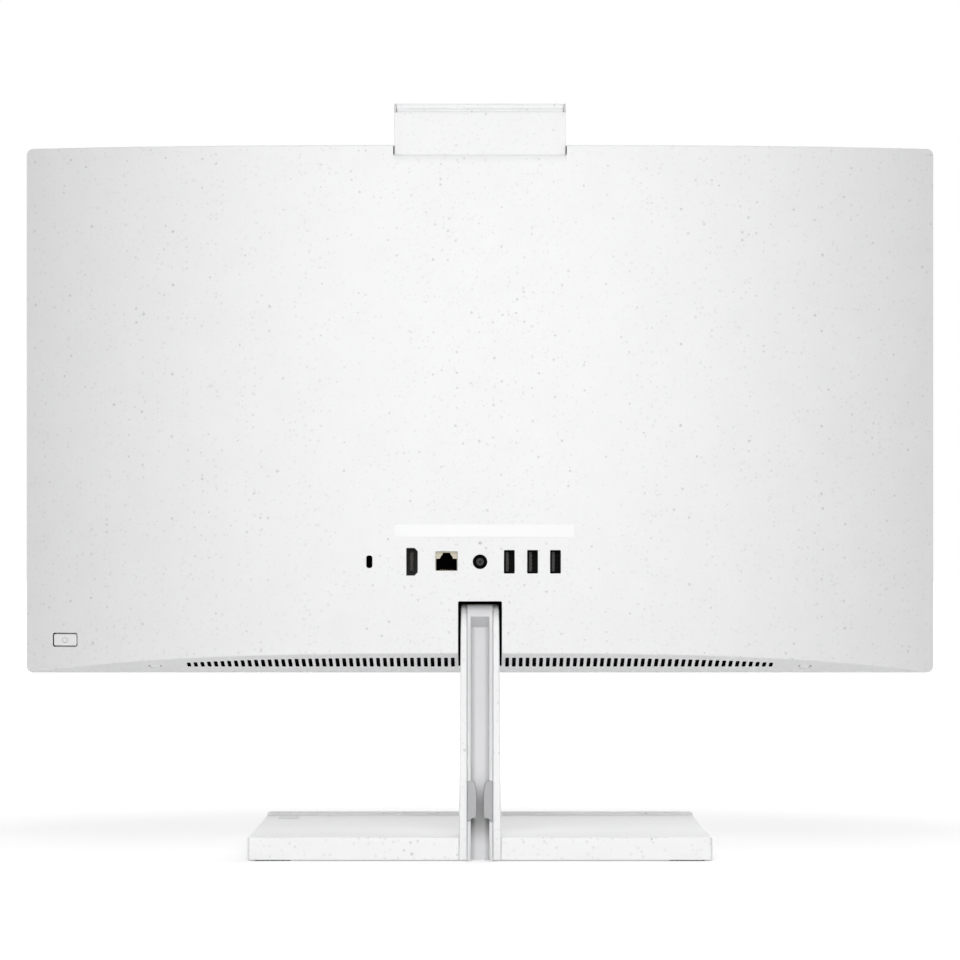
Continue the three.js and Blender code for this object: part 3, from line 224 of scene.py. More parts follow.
def in_scene(name, data):
    """New object of the data, linked to the scene."""
    obj = bpy.data.objects.new(name, data)
    bpy.context.scene.collection.objects.link(obj)
    return obj


def make_object(name, shape, finishes=(), marked_finish=0):
    """Mesh object in metres, with doubles merged and its faces turned outwards."""
    verts, faces = shape[:2]
    mesh = bpy.data.meshes.new(name)
    mesh.from_pydata((verts * MM).tolist(), [], faces)
    if marked_finish:
        mesh.polygons.foreach_set("material_index", [marked_finish * bool(mark) for mark in shape[2]])
    work = bmesh.new()
    work.from_mesh(mesh)
    bmesh.ops.remove_doubles(work, verts=work.verts, dist=1e-6)
    bmesh.ops.dissolve_degenerate(work, edges=work.edges, dist=1e-7)
    bmesh.ops.recalc_face_normals(work, faces=work.faces)
    work.to_mesh(mesh)
    work.free()
    for finish in finishes:
        mesh.materials.append(materials[finish])
    return in_scene(name, mesh)


def combine(obj, shapes, operation="DIFFERENCE", finish=0):
    """Cuts the shapes from a piece, or joins them to it; the new faces take the numbered finish."""
    tool = make_object("tool", together(shapes), marked_finish=finish)
    for material in obj.data.materials:
        tool.data.materials.append(material)
    modifier = obj.modifiers.new("combine", "BOOLEAN")
    modifier.operation = operation
    modifier.solver = "EXACT"
    modifier.object = tool
    graph = bpy.context.evaluated_depsgraph_get()
    old = obj.data
    obj.data = bpy.data.meshes.new_from_object(obj.evaluated_get(graph))
    obj.modifiers.clear()
    bpy.data.meshes.remove(old)
    used = tool.data
    bpy.data.objects.remove(tool)
    bpy.data.meshes.remove(used)


def place(obj, body, slot, stands_for=()):
    """Smooth faces between sharp edges, then puts the piece on its body."""
    obj.data.shade_smooth()
    obj.data.set_sharp_from_angle(angle=CREASE)
    modifier = obj.modifiers.new("weighted normals", "WEIGHTED_NORMAL")
    modifier.keep_sharp = True
    modifier.weight = 60
    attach(obj, body)
    if stands_for:
        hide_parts(*stands_for)


def piece(name, shape, finish, body, slot, stands_for=(), cuts=()):
    """One piece of a single finish from a shape, less its cuts."""
    obj = make_object(name, shape, [finish])
    if cuts:
        combine(obj, cuts)
    place(obj, body, slot, stands_for)


# ---- materials

def new_group(name, inputs, outputs):
    """Empty shader node group with float inputs and named outputs."""
    group = bpy.data.node_groups.new(name, "ShaderNodeTree")
    for label, value in inputs:
        socket = group.interface.new_socket(label, in_out="INPUT", socket_type="NodeSocketFloat")
        socket.default_value = value
    for label in outputs:
        group.interface.new_socket(label, in_out="OUTPUT", socket_type="NodeSocketFloat")
    return group, group.nodes.new("NodeGroupInput"), group.nodes.new("NodeGroupOutput")


def feed(tree, target, value):
    """Links a socket to the input, or sets the input to the value."""
    if isinstance(value, bpy.types.NodeSocket):
        tree.links.new(value, target)
    else:
        target.default_value = value


def node(tree, kind, settings=None, **links):
    """New node with its settings; a link or value goes to the input of that name or number (as n0, n1)."""
    made = tree.nodes.new(kind)
    for key, value in (settings or {}).items():
        setattr(made, key, value)
    for key, value in links.items():
        feed(tree, made.inputs[int(key[1:]) if key[0] == "n" and key[1:].isdigit() else key], value)
    return made


def maths(tree, operation, *values):
    """Math node of the operation on up to three values or sockets."""
    made = node(tree, "ShaderNodeMath", {"operation": operation})
    for target, value in zip(made.inputs, values):
        feed(tree, target, value)
    return made.outputs[0]


def scaled(tree, vector, scale):
    """A vector times a number."""
    return node(tree, "ShaderNodeVectorMath", {"operation": "SCALE"}, n0=vector, Scale=scale).outputs[0]


def fade(tree, value, full, gone):
    """1 up to where the value is full, falling smoothly to 0 where it is gone."""
    return node(tree, "ShaderNodeMapRange", {"interpolation_type": "SMOOTHSTEP"}, Value=value,
                n1=full, n2=gone, n3=1.0, n4=0.0).outputs[0]


def place_in_mm(tree):
    """Object coordinates of the shaded point, in millimetres."""
    return scaled(tree, node(tree, "ShaderNodeTexCoord").outputs["Object"], 1 / MM)


def fleck_group():
    """Random round flecks: one in each chosen Voronoi cell, with its own size and strength."""
    group, given, out = new_group(
        "flecks", [("Spacing", 4.0), ("Radius", 0.5), ("Share", 0.3)], ["Mask"])
    inverse = maths(group, "DIVIDE", 1.0, given.outputs["Spacing"])
    point = scaled(group, place_in_mm(group), inverse)
    cell = node(group, "ShaderNodeTexVoronoi", {"voronoi_dimensions": "3D", "feature": "F1"},
                Vector=point, Scale=1.0, Randomness=1.0)
    random = node(group, "ShaderNodeSeparateColor", n0=cell.outputs["Color"])
    chosen = maths(group, "LESS_THAN", random.outputs[0], given.outputs["Share"])
    size = maths(group, "MULTIPLY", maths(group, "MULTIPLY", given.outputs["Radius"], inverse),
                 maths(group, "ADD", 0.55, random.outputs[1]))
    ragged = node(group, "ShaderNodeTexNoise", Vector=point, Scale=5.0, Detail=1.0).outputs[0]
    distance = maths(group, "ADD", cell.outputs["Distance"],
                     maths(group, "MULTIPLY", maths(group, "SUBTRACT", ragged, 0.5), 0.12))
    edge = fade(group, distance, maths(group, "MULTIPLY", size, 0.55), size)
    strength = maths(group, "ADD", 0.35, maths(group, "MULTIPLY", random.outputs[2], 0.65))
    group.links.new(maths(group, "MULTIPLY", maths(group, "MULTIPLY", chosen, edge), strength),
                    out.inputs["Mask"])
    return group


def grain_group():
    """Fine noise for a moulded skin, and two broad noises for its tone and its sheen."""
    group, given, out = new_group(
        "moulded_grain", [("Grain", 0.35), ("Cloud", 60.0)], ["Height", "Tone", "Sheen"])
    here = place_in_mm(group)

    def noise(size, detail):
        """Noise whose grains are about the size."""
        point = scaled(group, here, maths(group, "DIVIDE", 1.0, size))
        return node(group, "ShaderNodeTexNoise", Vector=point, Scale=1.0, Detail=detail,
                    Roughness=0.55).outputs[0]

    group.links.new(noise(given.outputs["Grain"], 2.0), out.inputs["Height"])
    group.links.new(noise(given.outputs["Cloud"], 3.0), out.inputs["Tone"])
    group.links.new(noise(maths(group, "MULTIPLY", given.outputs["Cloud"], 0.27), 4.0), out.inputs["Sheen"])
    return group


def streak_group():
    """Noise drawn out along X, for brushed or rolled metal."""
    group, given, out = new_group("streaks", [("Width", 0.15), ("Length", 12.0)], ["Streak"])
    parts = node(group, "ShaderNodeSeparateXYZ", n0=place_in_mm(group))
    stretched = node(group, "ShaderNodeCombineXYZ",
                     n0=maths(group, "DIVIDE", parts.outputs[0], given.outputs["Length"]),
                     n1=maths(group, "DIVIDE", parts.outputs[1], given.outputs["Width"]),
                     n2=maths(group, "DIVIDE", parts.outputs[2], given.outputs["Width"])).outputs[0]
    group.links.new(node(group, "ShaderNodeTexNoise", Vector=stretched, Scale=1.0, Detail=3.0).outputs[0],
                    out.inputs["Streak"])
    return group


def trough_shade_group():
    """Mask of painted shade in the trough round the clip: full within 5 mm of the centre height and gone at
    the reach; full from 4 mm below the post's rear face, gone half a millimetre below it; only between the
    trough's sides."""
    group, given, out = new_group("trough_painted_shade", [("Centre", 28.0), ("Reach", 20.0)], ["Mask"])
    parts = node(group, "ShaderNodeSeparateXYZ", n0=place_in_mm(group)).outputs
    off = maths(group, "ABSOLUTE", maths(group, "SUBTRACT", parts[2], given.outputs["Centre"]))
    along_it = fade(group, off, 5.0, given.outputs["Reach"])
    within = fade(group, parts[1], REAR - 4.0, REAR - 0.5)
    beside = maths(group, "LESS_THAN", maths(group, "ABSOLUTE", parts[0]), 5.6)
    group.links.new(maths(group, "MULTIPLY", maths(group, "MULTIPLY", along_it, within), beside),
                    out.inputs["Mask"])
    return group


flecks = fleck_group()
trough_shade = trough_shade_group()
moulded_grain = grain_group()
streaks = streak_group()
materials = {}


def grouped(tree, group, **values):
    """A node group placed in a material, with its own values."""
    made = tree.nodes.new("ShaderNodeGroup")
    made.node_tree = group
    for key, value in values.items():
        made.inputs[key].default_value = value
    return made.outputs


def spread(tree, value, low, high, to_low, to_high):
    """Value between low and high mapped between two other numbers."""
    return node(tree, "ShaderNodeMapRange", Value=value, n1=low, n2=high, n3=to_low, n4=to_high).outputs[0]


def blend_colours(tree, mask, first, second):
    """First colour where the mask is 0, second where it is 1."""
    made = node(tree, "ShaderNodeMix", {"data_type": "RGBA"})
    for key, value in (("Factor", mask), (6, first), (7, second)):
        feed(tree, made.inputs[key], (*value, 1.0) if isinstance(value, tuple) else value)
    return made.outputs[2]


def shaded(colour, share):
    """A colour made darker or lighter by a share."""
    return tuple(c * share for c in colour)


def new_material(name, **values):
    """A material, its tree and its shader, whose inputs take the values (_ stands for a space)."""
    material = bpy.data.materials.new(name)
    material.use_nodes = True
    shader = material.node_tree.nodes["Principled BSDF"]
    for key, value in values.items():
        shader.inputs[key.replace("_", " ")].default_value = value
    return material, material.node_tree, shader


def finish(name, colour, roughness, metallic=0.0, grain=0.35, bump=0.05, tone=0.03,
           coat=0.0, cloud=60.0, specular=0.5):
    """Material with a fine bump, soft changes of tone and an uneven sheen, and streaks if it is metallic.
    Returns its tree, shader and base colour."""
    materials[name], tree, shader = new_material(name, Metallic=metallic, Coat_Weight=coat,
                                                 Specular_IOR_Level=specular)
    skin = grouped(tree, moulded_grain, Grain=grain, Cloud=cloud)
    height, tint = skin["Height"], skin["Tone"]
    if metallic:
        height = grouped(tree, streaks)["Streak"]
        tint = height
    base = blend_colours(tree, spread(tree, tint, 0.3, 0.7, 0.0, 1.0), shaded(colour, 1 - tone),
                         shaded(colour, 1 + tone * 0.5))
    tree.links.new(base, shader.inputs["Base Color"])
    tree.links.new(spread(tree, skin["Sheen"], 0.3, 0.7, roughness * 0.9, min(1.0, roughness * 1.1)),
                   shader.inputs["Roughness"])
    relief = node(tree, "ShaderNodeBump", Height=height, Strength=bump, Distance=grain * MM)
    tree.links.new(relief.outputs[0], shader.inputs["Normal"])
    return tree, shader, base


def add_flecks(tree, shader, base, layers):
    """Lays fleck layers over the base colour: (spacing, radius, share, colour, strength) each."""
    for spacing, radius, share, colour, strength in layers:
        mask = grouped(tree, flecks, Spacing=spacing, Radius=radius, Share=share)["Mask"]
        base = blend_colours(tree, maths(tree, "MULTIPLY", mask, strength), base, colour)
    tree.links.new(base, shader.inputs["Base Color"])


def add_trough_shade(tree, shader, base):
    """Darkens the base colour with painted shade in the trough round the clip."""
    mask = grouped(tree, trough_shade, Centre=28.0, Reach=20.0)["Mask"]
    tree.links.new(blend_colours(tree, mask, base, (0.36, 0.36, 0.365)), shader.inputs["Base Color"])


def add_picture_area(tree, shader, base):
    """The panel's picture area shows a shade greyer through the glass than the black border round it."""
    low, high = cad("panel_glass")
    border, blur = 3.6, 0.15
    parts = node(tree, "ShaderNodeSeparateXYZ", n0=place_in_mm(tree)).outputs
    off_x = maths(tree, "SUBTRACT", high[0] - border, maths(tree, "ABSOLUTE", parts[0]))
    off_z = maths(tree, "SUBTRACT", (high[2] - low[2]) / 2 - border,
                  maths(tree, "ABSOLUTE", maths(tree, "SUBTRACT", parts[2], (high[2] + low[2]) / 2)))
    mask = spread(tree, maths(tree, "MINIMUM", off_x, off_z), -blur, blur, 0.0, 1.0)
    tree.links.new(blend_colours(tree, mask, base, (0.014, 0.0142, 0.0155)), shader.inputs["Base Color"])


fleck_layers = [
    (4.4, 0.76, 0.28, (0.55, 0.55, 0.565), 0.68),
    (2.9, 0.78, 0.64, (0.69, 0.69, 0.705), 0.46),
    (1.9, 0.5, 0.5, (0.74, 0.74, 0.755), 0.42),
]
for name, colour, roughness, tone, cloud in (
        ("white_shell", (0.885, 0.886, 0.892), 0.52, 0.014, 22.0),
        ("white_post", (0.9, 0.901, 0.907), 0.5, 0.012, 60.0),
        ("white_base", (0.94, 0.94, 0.946), 0.5, 0.012, 60.0)):
    add_flecks(*finish(name, colour, roughness, grain=0.3, tone=tone, cloud=cloud), fleck_layers)
# Painted shade: the inside faces of the cover and the base, and the cover's screw bosses, are near black.
finish("inside_painted_shade", (0.008, 0.008, 0.009), 0.75, tone=0.1, specular=0.0)
# Painted shade: gap_black and gap_grey are near-black walls in the vents, the narrow gaps round the post,
# camera plate, button and lens, and the hollows behind them; gap_black is also the network jack's black
# mouth.
finish("gap_black", (0.003, 0.003, 0.0035), 0.8, tone=0.1, specular=0.0)
finish("gap_grey", (0.04, 0.04, 0.041), 0.8, tone=0.1, specular=0.0)
finish("label_film", (0.93, 0.93, 0.932), 0.42, grain=0.8, bump=0.01, tone=0.004)
# Painted shade: the silver insert and the clip are darkened in the trough round the clip.
add_trough_shade(*finish("silver_plastic", (0.72, 0.72, 0.73), 0.36, grain=0.2, bump=0.06))
add_trough_shade(*finish("clip_plastic", (0.42, 0.42, 0.43), 0.45, grain=0.2, bump=0.06))
finish("white_key", (0.95, 0.95, 0.955), 0.35, grain=0.2, bump=0.02, tone=0.01)
finish("dark_trim", (0.6, 0.6, 0.605), 0.45, tone=0.05)
finish("rubber_feet", (0.15, 0.15, 0.155), 0.85, grain=0.5, bump=0.15, tone=0.1)
finish("steel", (0.56, 0.57, 0.59), 0.38, 1.0, bump=0.08, tone=0.1)
# Near black: painted shade for the hinge parts that show through the post's opening.
finish("hinge_steel", (0.012, 0.012, 0.013), 0.6, 0.2, bump=0.08, tone=0.15, specular=0.1)
finish("socket_black", (0.005, 0.005, 0.0055), 0.42, tone=0.1, specular=0.06)
finish("shell_metal", (0.05, 0.05, 0.052), 0.5, 0.3, tone=0.1, specular=0.25)
finish("tongue_grey", (0.055, 0.055, 0.057), 0.5, tone=0.05, specular=0.2)
finish("contact_gold", (0.3, 0.225, 0.12), 0.3, 1.0, bump=0.03, tone=0.1)
finish("socket_beige", (0.62, 0.57, 0.46), 0.5, tone=0.05)
finish("clear_light", (0.62, 0.63, 0.65), 0.2, tone=0.05, coat=0.5)
finish("backlight", (0.4, 0.41, 0.42), 0.5, 0.6, tone=0.06)
finish("card_black", (0.02, 0.02, 0.022), 0.5, tone=0.15, specular=0.25)
finish("copper", (0.8, 0.42, 0.25), 0.32, 1.0, bump=0.06, tone=0.15)
finish("fin_aluminium", (0.68, 0.69, 0.7), 0.3, 1.0, tone=0.08)
finish("board_green", (0.012, 0.09, 0.045), 0.42, grain=1.2, bump=0.1, tone=0.25, cloud=9.0, coat=0.3)
finish("lens_glass", (0.006, 0.006, 0.01), 0.06, tone=0.1, coat=1.0)
finish("sign_grey", (0.5, 0.5, 0.51), 0.5)
# Painted shade: the near-black finish of the sheets behind the vents.
finish("vent_sheet_shade", (0.01, 0.01, 0.011), 0.85, grain=0.6, bump=0.4, tone=0.3, specular=0.02)
add_picture_area(*finish("screen_glass", (0.003, 0.003, 0.0033), 0.09, grain=0.2, bump=0.01, tone=0.2,
                         cloud=90.0, specular=0.25))

# Carried-over nodes take the finish of their slot.
# The hinge bracket and the chassis, behind the post's opening, take a dark one: painted shade where they show
# through the opening.
slot_of_node = {part["node"]: part["material_slot"] for part in frame["record"]["subparts"]}
for name, obj in nodes.items():
    slot = slot_of_node[name]
    obj.data.materials.clear()
    obj.data.materials.append(materials["label_film" if slot == "label_white" else slot])
for dark in ("hinge_bracket", "chassis"):
    nodes[dark].data.materials[0] = materials["hinge_steel"]

# ---- rear cover

def corner_drop(x):
    """How far the body's top and bottom edges have turned in at x, on the quarter circle of each corner."""
    run = np.clip(np.abs(x) - (HALF_WIDTH - CORNER), 0, CORNER)
    return CORNER - np.sqrt(CORNER ** 2 - run ** 2)


def cover_sections(x):
    """Closed side section of the cover at each x: rim, sloping underside, a rounded edge, the upright back,
    a rounded edge, the slightly falling top and the rim again, then the same wall from inside."""
    x = x[:, None]
    depth = cover_depth(x)
    drop = corner_drop(x)
    low, high = BODY_LOW + drop, BODY_HIGH - drop
    radius = np.minimum(COVER_EDGE, 0.4 * depth)
    fall, rise = math.atan(UNDER_SLOPE), math.atan(TOP_SLOPE)
    down_run = radius * math.tan((QUARTER - fall) / 2)
    up_run = radius * math.tan((QUARTER - rise) / 2)
    share = np.linspace(0, 1, 6)
    low_turn = np.linspace(-QUARTER + fall, 0, 7)
    high_turn = np.linspace(0, QUARTER - rise, 7)
    low_centre = low + UNDER_SLOPE * depth + down_run
    high_centre = high - TOP_SLOPE * depth - up_run
    under_end = depth - down_run * math.cos(fall)
    top_end = depth - up_run * math.cos(rise)
    rim = -RIM_LAP + 0 * x
    spans = np.linspace(0, 1, 15)[1:-1]
    parts = [
        (rim, low), (under_end * share, low + UNDER_SLOPE * under_end * share),
        (depth - radius + radius * np.cos(low_turn), low_centre + radius * np.sin(low_turn)),
        (depth + 0 * spans, low_centre + (high_centre - low_centre) * spans),
        (depth - radius + radius * np.cos(high_turn), high_centre + radius * np.sin(high_turn)),
        (top_end * share[::-1], high - TOP_SLOPE * top_end * share[::-1]),
        (rim, high),
    ]
    inner = np.maximum(depth - WALL * np.hypot(1, cover_slope(x)), -RIM_LAP)
    inner_run = -RIM_LAP + (inner + RIM_LAP) * np.linspace(0, 1, 5)
    inner_low = BODY_LOW + UNDER_SLOPE * np.maximum(inner_run, 0) + UNDER_WALL
    inner_high = BODY_HIGH - TOP_SLOPE * np.maximum(inner_run, 0) - WALL
    back = np.linspace(0, 1, 6)[1:-1]
    parts += [
        (inner_run, inner_high),
        (inner + 0 * back, inner_high[:, -1:] + (inner_low[:, -1:] - inner_high[:, -1:]) * back),
        (inner_run[:, ::-1], inner_low[:, ::-1]),
    ]
    across = [np.broadcast_arrays(t, z) for t, z in parts]
    t, z = (np.concatenate([pair[k] for pair in across], 1) for k in (0, 1))
    return np.stack([np.broadcast_to(x, t.shape), RIM + t, z], -1)


def cover_shape():
    """The side section carried from side to side, with stations close together on the corner circles."""
    turn = np.sin(np.linspace(0, QUARTER, 9)[1:]) * CORNER
    straight = np.linspace(-(HALF_WIDTH - CORNER), HALF_WIDTH - CORNER, 181)
    x = np.concatenate([-(HALF_WIDTH - CORNER) - turn[::-1], straight, HALF_WIDTH - CORNER + turn])
    return loft(cover_sections(x))


def on_back(points, offset):
    """Outline (x, z) at an offset out from the cover's curved back."""
    return np.stack([points[:, 0], RIM + cover_depth(points[:, 0]) + offset, points[:, 1]], 1)


def on_underside(points, offset):
    """Outline (x, y) at an offset down from the cover's sloping underside."""
    z = BODY_LOW + UNDER_SLOPE * (points[:, 1] - RIM) - offset
    return np.stack([points[:, 0], points[:, 1], z], 1)


PORT_Z, LIGHT_Z = 175.2, 186.2
VIDEO_X, NETWORK_X, JACK_X, LOCK_X = 39.8, 19.6, 0.0, 64.8
DATA_X = (-17.1, -30.7, -44.1)
DATA_HALF, DATA_TALL = 3.1, 6.85
VIDEO_HALF, VIDEO_TALL, VIDEO_CUT = 3.35, 8.1, 1.9


def video_outline(grow=0.0):
    """The video port: a rectangle with its two corners on the low-x side cut off at 45 degrees."""
    x_high, x_low = VIDEO_X + VIDEO_HALF + grow, VIDEO_X - VIDEO_HALF - grow
    low, high = PORT_Z - VIDEO_TALL - grow, PORT_Z + VIDEO_TALL + grow
    return np.array([[x_low, low + VIDEO_CUT], [x_low + VIDEO_CUT, low], [x_high, low], [x_high, high],
                     [x_low + VIDEO_CUT, high], [x_low, high - VIDEO_CUT]])


def data_outline(x, low_reach=DATA_HALF):
    """Mouth of a data port; the cover's hole reaches a little further on the low-x side."""
    return rounded(x - low_reach, x + DATA_HALF, PORT_Z - DATA_TALL, PORT_Z + DATA_TALL, 0.45, 4)


def port_cutters():
    """Rounded holes through the back for every socket, the lock slot and the light."""
    holes = [
        (rounded(LOCK_X - 1.8, LOCK_X + 1.8, PORT_Z - 3.7, PORT_Z + 3.7, 1.5), 0.3),
        (video_outline(), 0.22),
        (rounded(NETWORK_X - 6.5, NETWORK_X + 6.5, PORT_Z - 5.3, PORT_Z + 6.1, 0.4, 4), 0.22),
        (circle(JACK_X, PORT_Z, 4.25, 48), 0.3),
        (circle(JACK_X, LIGHT_Z, 0.85, 16), 0.1),
    ] + [(data_outline(x, 3.2), 0.15) for x in DATA_X]
    return [flared(points, -6.0, 3.0, flare, on_back) for points, flare in holes]


VENT_COUNT, VENT_PITCH, VENT_START, VENT_HALF = 40, 4.0, 16.0, 1.1
VENT_X = np.arange(VENT_COUNT) * VENT_PITCH + VENT_START


def vent_cutters():
    """Round-ended slots through the underside, from near the front to 9 mm short of the back."""
    return [flared(rounded(x - VENT_HALF, x + VENT_HALF, RIM + 12.5, RIM + cover_depth(x) - 9, 1.08, 5),
                   -5.0, 3.0, 0.25, on_underside) for x in np.concatenate([-VENT_X, VENT_X])]


BUTTON_X, BUTTON_Z = HALF_WIDTH - 23.9, 129.0
BUTTON_TURN = math.atan(cover_slope(BUTTON_X))
KEY_HALF, KEY_TALL, KEY_GAP = 7.4, 3.4, 0.74


def button_frame(points):
    """From the button's own axes, +Y out along the surface normal, to the shared frame."""
    c, s = math.cos(BUTTON_TURN), math.sin(BUTTON_TURN)
    x, y, z = points.T
    return np.stack([BUTTON_X + x * c + y * s, RIM + cover_depth(BUTTON_X) - x * s + y * c, BUTTON_Z + z], 1)


def button_cutter():
    """The button's opening, a narrow gap wider than the key all round."""
    half, tall = KEY_HALF + KEY_GAP, KEY_TALL + KEY_GAP
    return moved(flared(rounded(-half, half, -tall, tall, 1.3), -6.0, 4.0, 0.2, facing(0.0)), button_frame)


PLUG_IN = 12.6
PLUG_X, PLUG_Y = HALF_WIDTH - 77.6, RIM + PLUG_IN
PLUG_HALF, PLUG_LONG = 2.9, 4.5
SCREW_HEAD, SCREW_GAP = 1.7, 0.3


def plug_shape(grow, above, below, edge=0.0):
    """Screw cover in the sloping underside: its outline (x, y), with both faces parallel to the slope."""
    outline = rounded(PLUG_X - PLUG_HALF - grow, PLUG_X + PLUG_HALF + grow,
                      PLUG_Y - PLUG_LONG - grow, PLUG_Y + PLUG_LONG + grow, 0.8)
    shape = slab(outline, -below, above, "z", edge)
    return moved(shape, lambda p: np.stack([p[:, 0], p[:, 1],
                                            p[:, 2] + BODY_LOW + UNDER_SLOPE * (p[:, 1] - RIM)], 1))


camera_low, camera_high = cad("camera_carriage")
CAMERA_HALF = camera_high[0]
SLOT_HALF = CAMERA_HALF + 0.55
SLOT_FLOOR = BODY_HIGH - 7.7
OPENING_HALF = 12.8
OPENING_TOP = POST_TOP + 1.6


def notch_fillet():
    """Cutter that lays the notch's lower edge back: at every x a quarter ellipse, from the plate's face at
    the notch's floor to the cover's back below it."""
    x = np.linspace(-SLOT_HALF, SLOT_HALF, 33)[:, None]
    turn = np.linspace(0, QUARTER, 12)
    near = camera_high[1] + 0.2
    back = RIM + cover_depth(x)
    fall = 5.0
    y = near + (back - near) * np.sin(turn)
    z = SLOT_FLOOR - fall + fall * np.cos(turn) + 0 * x
    out, over = back + 4.0, SLOT_FLOOR + 0.5 + 0 * x
    under = SLOT_FLOOR - fall - 0.01 + 0 * x
    y = np.concatenate([near + 0 * x, y, back + 0.01, out, out], 1)
    z = np.concatenate([over, z, under, under, over], 1)
    return loft(np.stack([x + 0 * y, y, z], -1))


def mark_inside(obj):
    """Gives the second finish, near-black painted shade, to the faces that lie more than 0.6 of the wall
    below the outer skin.
    """
    centre = np.empty(len(obj.data.polygons) * 3)
    obj.data.polygons.foreach_get("center", centre)
    x, y, z = centre.reshape(-1, 3).T / MM
    depth = y - RIM
    buried = WALL * 0.6
    inside = (depth > -0.9) & (depth < cover_depth(x) - buried * np.hypot(1, cover_slope(x)))
    inside &= (z < BODY_HIGH - TOP_SLOPE * depth - buried) & (z > BODY_LOW + UNDER_SLOPE * depth + buried)
    obj.data.polygons.foreach_set("material_index", inside.astype(np.int32))


def build_cover():
    """The wall, then its screw bosses, vents, and openings for sockets, button, post and camera."""
    obj = make_object("cover_shell", cover_shape(), ["white_shell", "inside_painted_shade", "gap_black", "gap_grey"])
    mark_inside(obj)
    head_top = cad("cover_screw_right")[0][2] + SCREW_HEAD + SCREW_GAP
    boss_foot = BODY_LOW + UNDER_SLOPE * PLUG_IN + 0.5
    combine(obj, both_sides(rod("z", PLUG_X, PLUG_Y, 4.6, boss_foot, head_top + 7, sides=32)), "UNION", 1)
    bore = rod("z", PLUG_X, PLUG_Y, PLUG_HALF, BODY_LOW, head_top + 0.01, sides=32)
    combine(obj, both_sides(bore), finish=1)
    combine(obj, both_sides(rod("z", PLUG_X, PLUG_Y, 1.8, BODY_LOW, head_top + 8, sides=24)), finish=1)
    combine(obj, both_sides(plug_shape(0.12, 1.95, 2.0)))
    # Painted shade: the walls of the vents, the post's opening and the camera slot take gap_black, the
    # button's gap takes gap_grey.
    combine(obj, vent_cutters(), finish=2)
    combine(obj, port_cutters())
    combine(obj, [button_cutter()], finish=3)
    opening = rounded(-OPENING_HALF, OPENING_HALF, 90.0, OPENING_TOP, 0.8, 5)
    combine(obj, [flared(opening, -27.0, 4.0, 0.35, on_back)], finish=2)
    back = RIM + DEPTH
    slot = rounded(-SLOT_HALF, SLOT_HALF, SLOT_FLOOR, BODY_HIGH + 8, 0.5, 4)
    slot_front = camera_low[1] - 1.5
    rib = block(-46.0, 46.0, camera_high[1] + 0.2, back - 1.0, SLOT_FLOOR - 7.0, SLOT_FLOOR + 1.0)
    combine(obj, [rib], "UNION")
    combine(obj, [flared(slot, slot_front - RIM - DEPTH, 4.0, 0.25, facing(back))], finish=2)
    combine(obj, [notch_fillet()])
    place(obj, "display", "white_shell", ["rear_cover"])


build_cover()


# ---- front frame and screen

def build_front():
    """Thin frame round the screen, its front and window edges rounded, and the glass set into it."""
    low, high = cad("front_bezel")
    glass_low, glass_high = cad("panel_glass")
    gap = 0.3
    window = rounded(glass_low[0] - gap, glass_high[0] + gap, glass_low[2] - gap, glass_high[2] + gap, 0.9)
    outline = rounded(low[0], high[0], low[2], high[2], CORNER, 10)
    piece("front_frame", slab(outline, low[1], high[1], "y", 0.9, 0.15, 6), "white_shell", "display",
          "white_shell", ["front_bezel"], [flared(window, -8.0, 3.0, 0.25, facing(low[1], turn=-1))])
    edge = rounded(glass_low[0], glass_high[0], glass_low[2], glass_high[2], 0.7)
    piece("screen_glass", slab(edge, glass_low[1], glass_high[1], "y", 0.2, 0.1, 4), "screen_glass",
          "display", "screen_glass", ["panel_glass"])


build_front()


def build_plugs():
    """Screw covers in the underside; their brighter key white is painted light."""
    shapes = both_sides(plug_shape(0.0, 1.85, -0.7, 0.35))
    for name, shape in zip(("right", "left"), shapes):
        piece(f"screw_plug_{name}", shape, "white_key", "display", "white_shell", [f"screw_cover_{name}"])


def build_lock_well():
    """Near-black box behind the lock slot, open towards its plate: painted shade in the slot."""
    back = cad("lock_plate")[0][1]
    well = block(LOCK_X - 4.0, LOCK_X + 4.0, back - 9.0, back - 0.1, PORT_Z - 6.0, PORT_Z + 6.0, 0.4)
    hollow = block(LOCK_X - 3.0, LOCK_X + 3.0, back - 8.0, back + 1.0, PORT_Z - 5.0, PORT_Z + 5.0)
    piece("lock_well", well, "gap_black", "display", "card_black", cuts=[hollow])


def build_label():
    """Film on the curved back, with many points along its long edges so that it follows the curve."""
    low, high = cad("label_strip")
    corner = 0.5
    left, right, under, over = low[0] + corner, high[0] - corner, low[2] + corner, high[2] - corner
    x = np.linspace(left, right, 40)
    outline = np.concatenate([
        bow(right, over, corner, 0, 90, 5), np.stack([x[::-1], np.full_like(x, high[2])], 1)[1:-1],
        bow(left, over, corner, 90, 180, 5), bow(left, under, corner, 180, 270, 5),
        np.stack([x, np.full_like(x, low[2])], 1)[1:-1], bow(right, under, corner, 270, 360, 5)])
    rings = [on_back(outline, 0.05), on_back(outline, 0.25), on_back(inset(outline, 0.1), 0.35)]
    piece("label_film", loft(rings), "label_film", "display", "label_white", ["label_strip"])


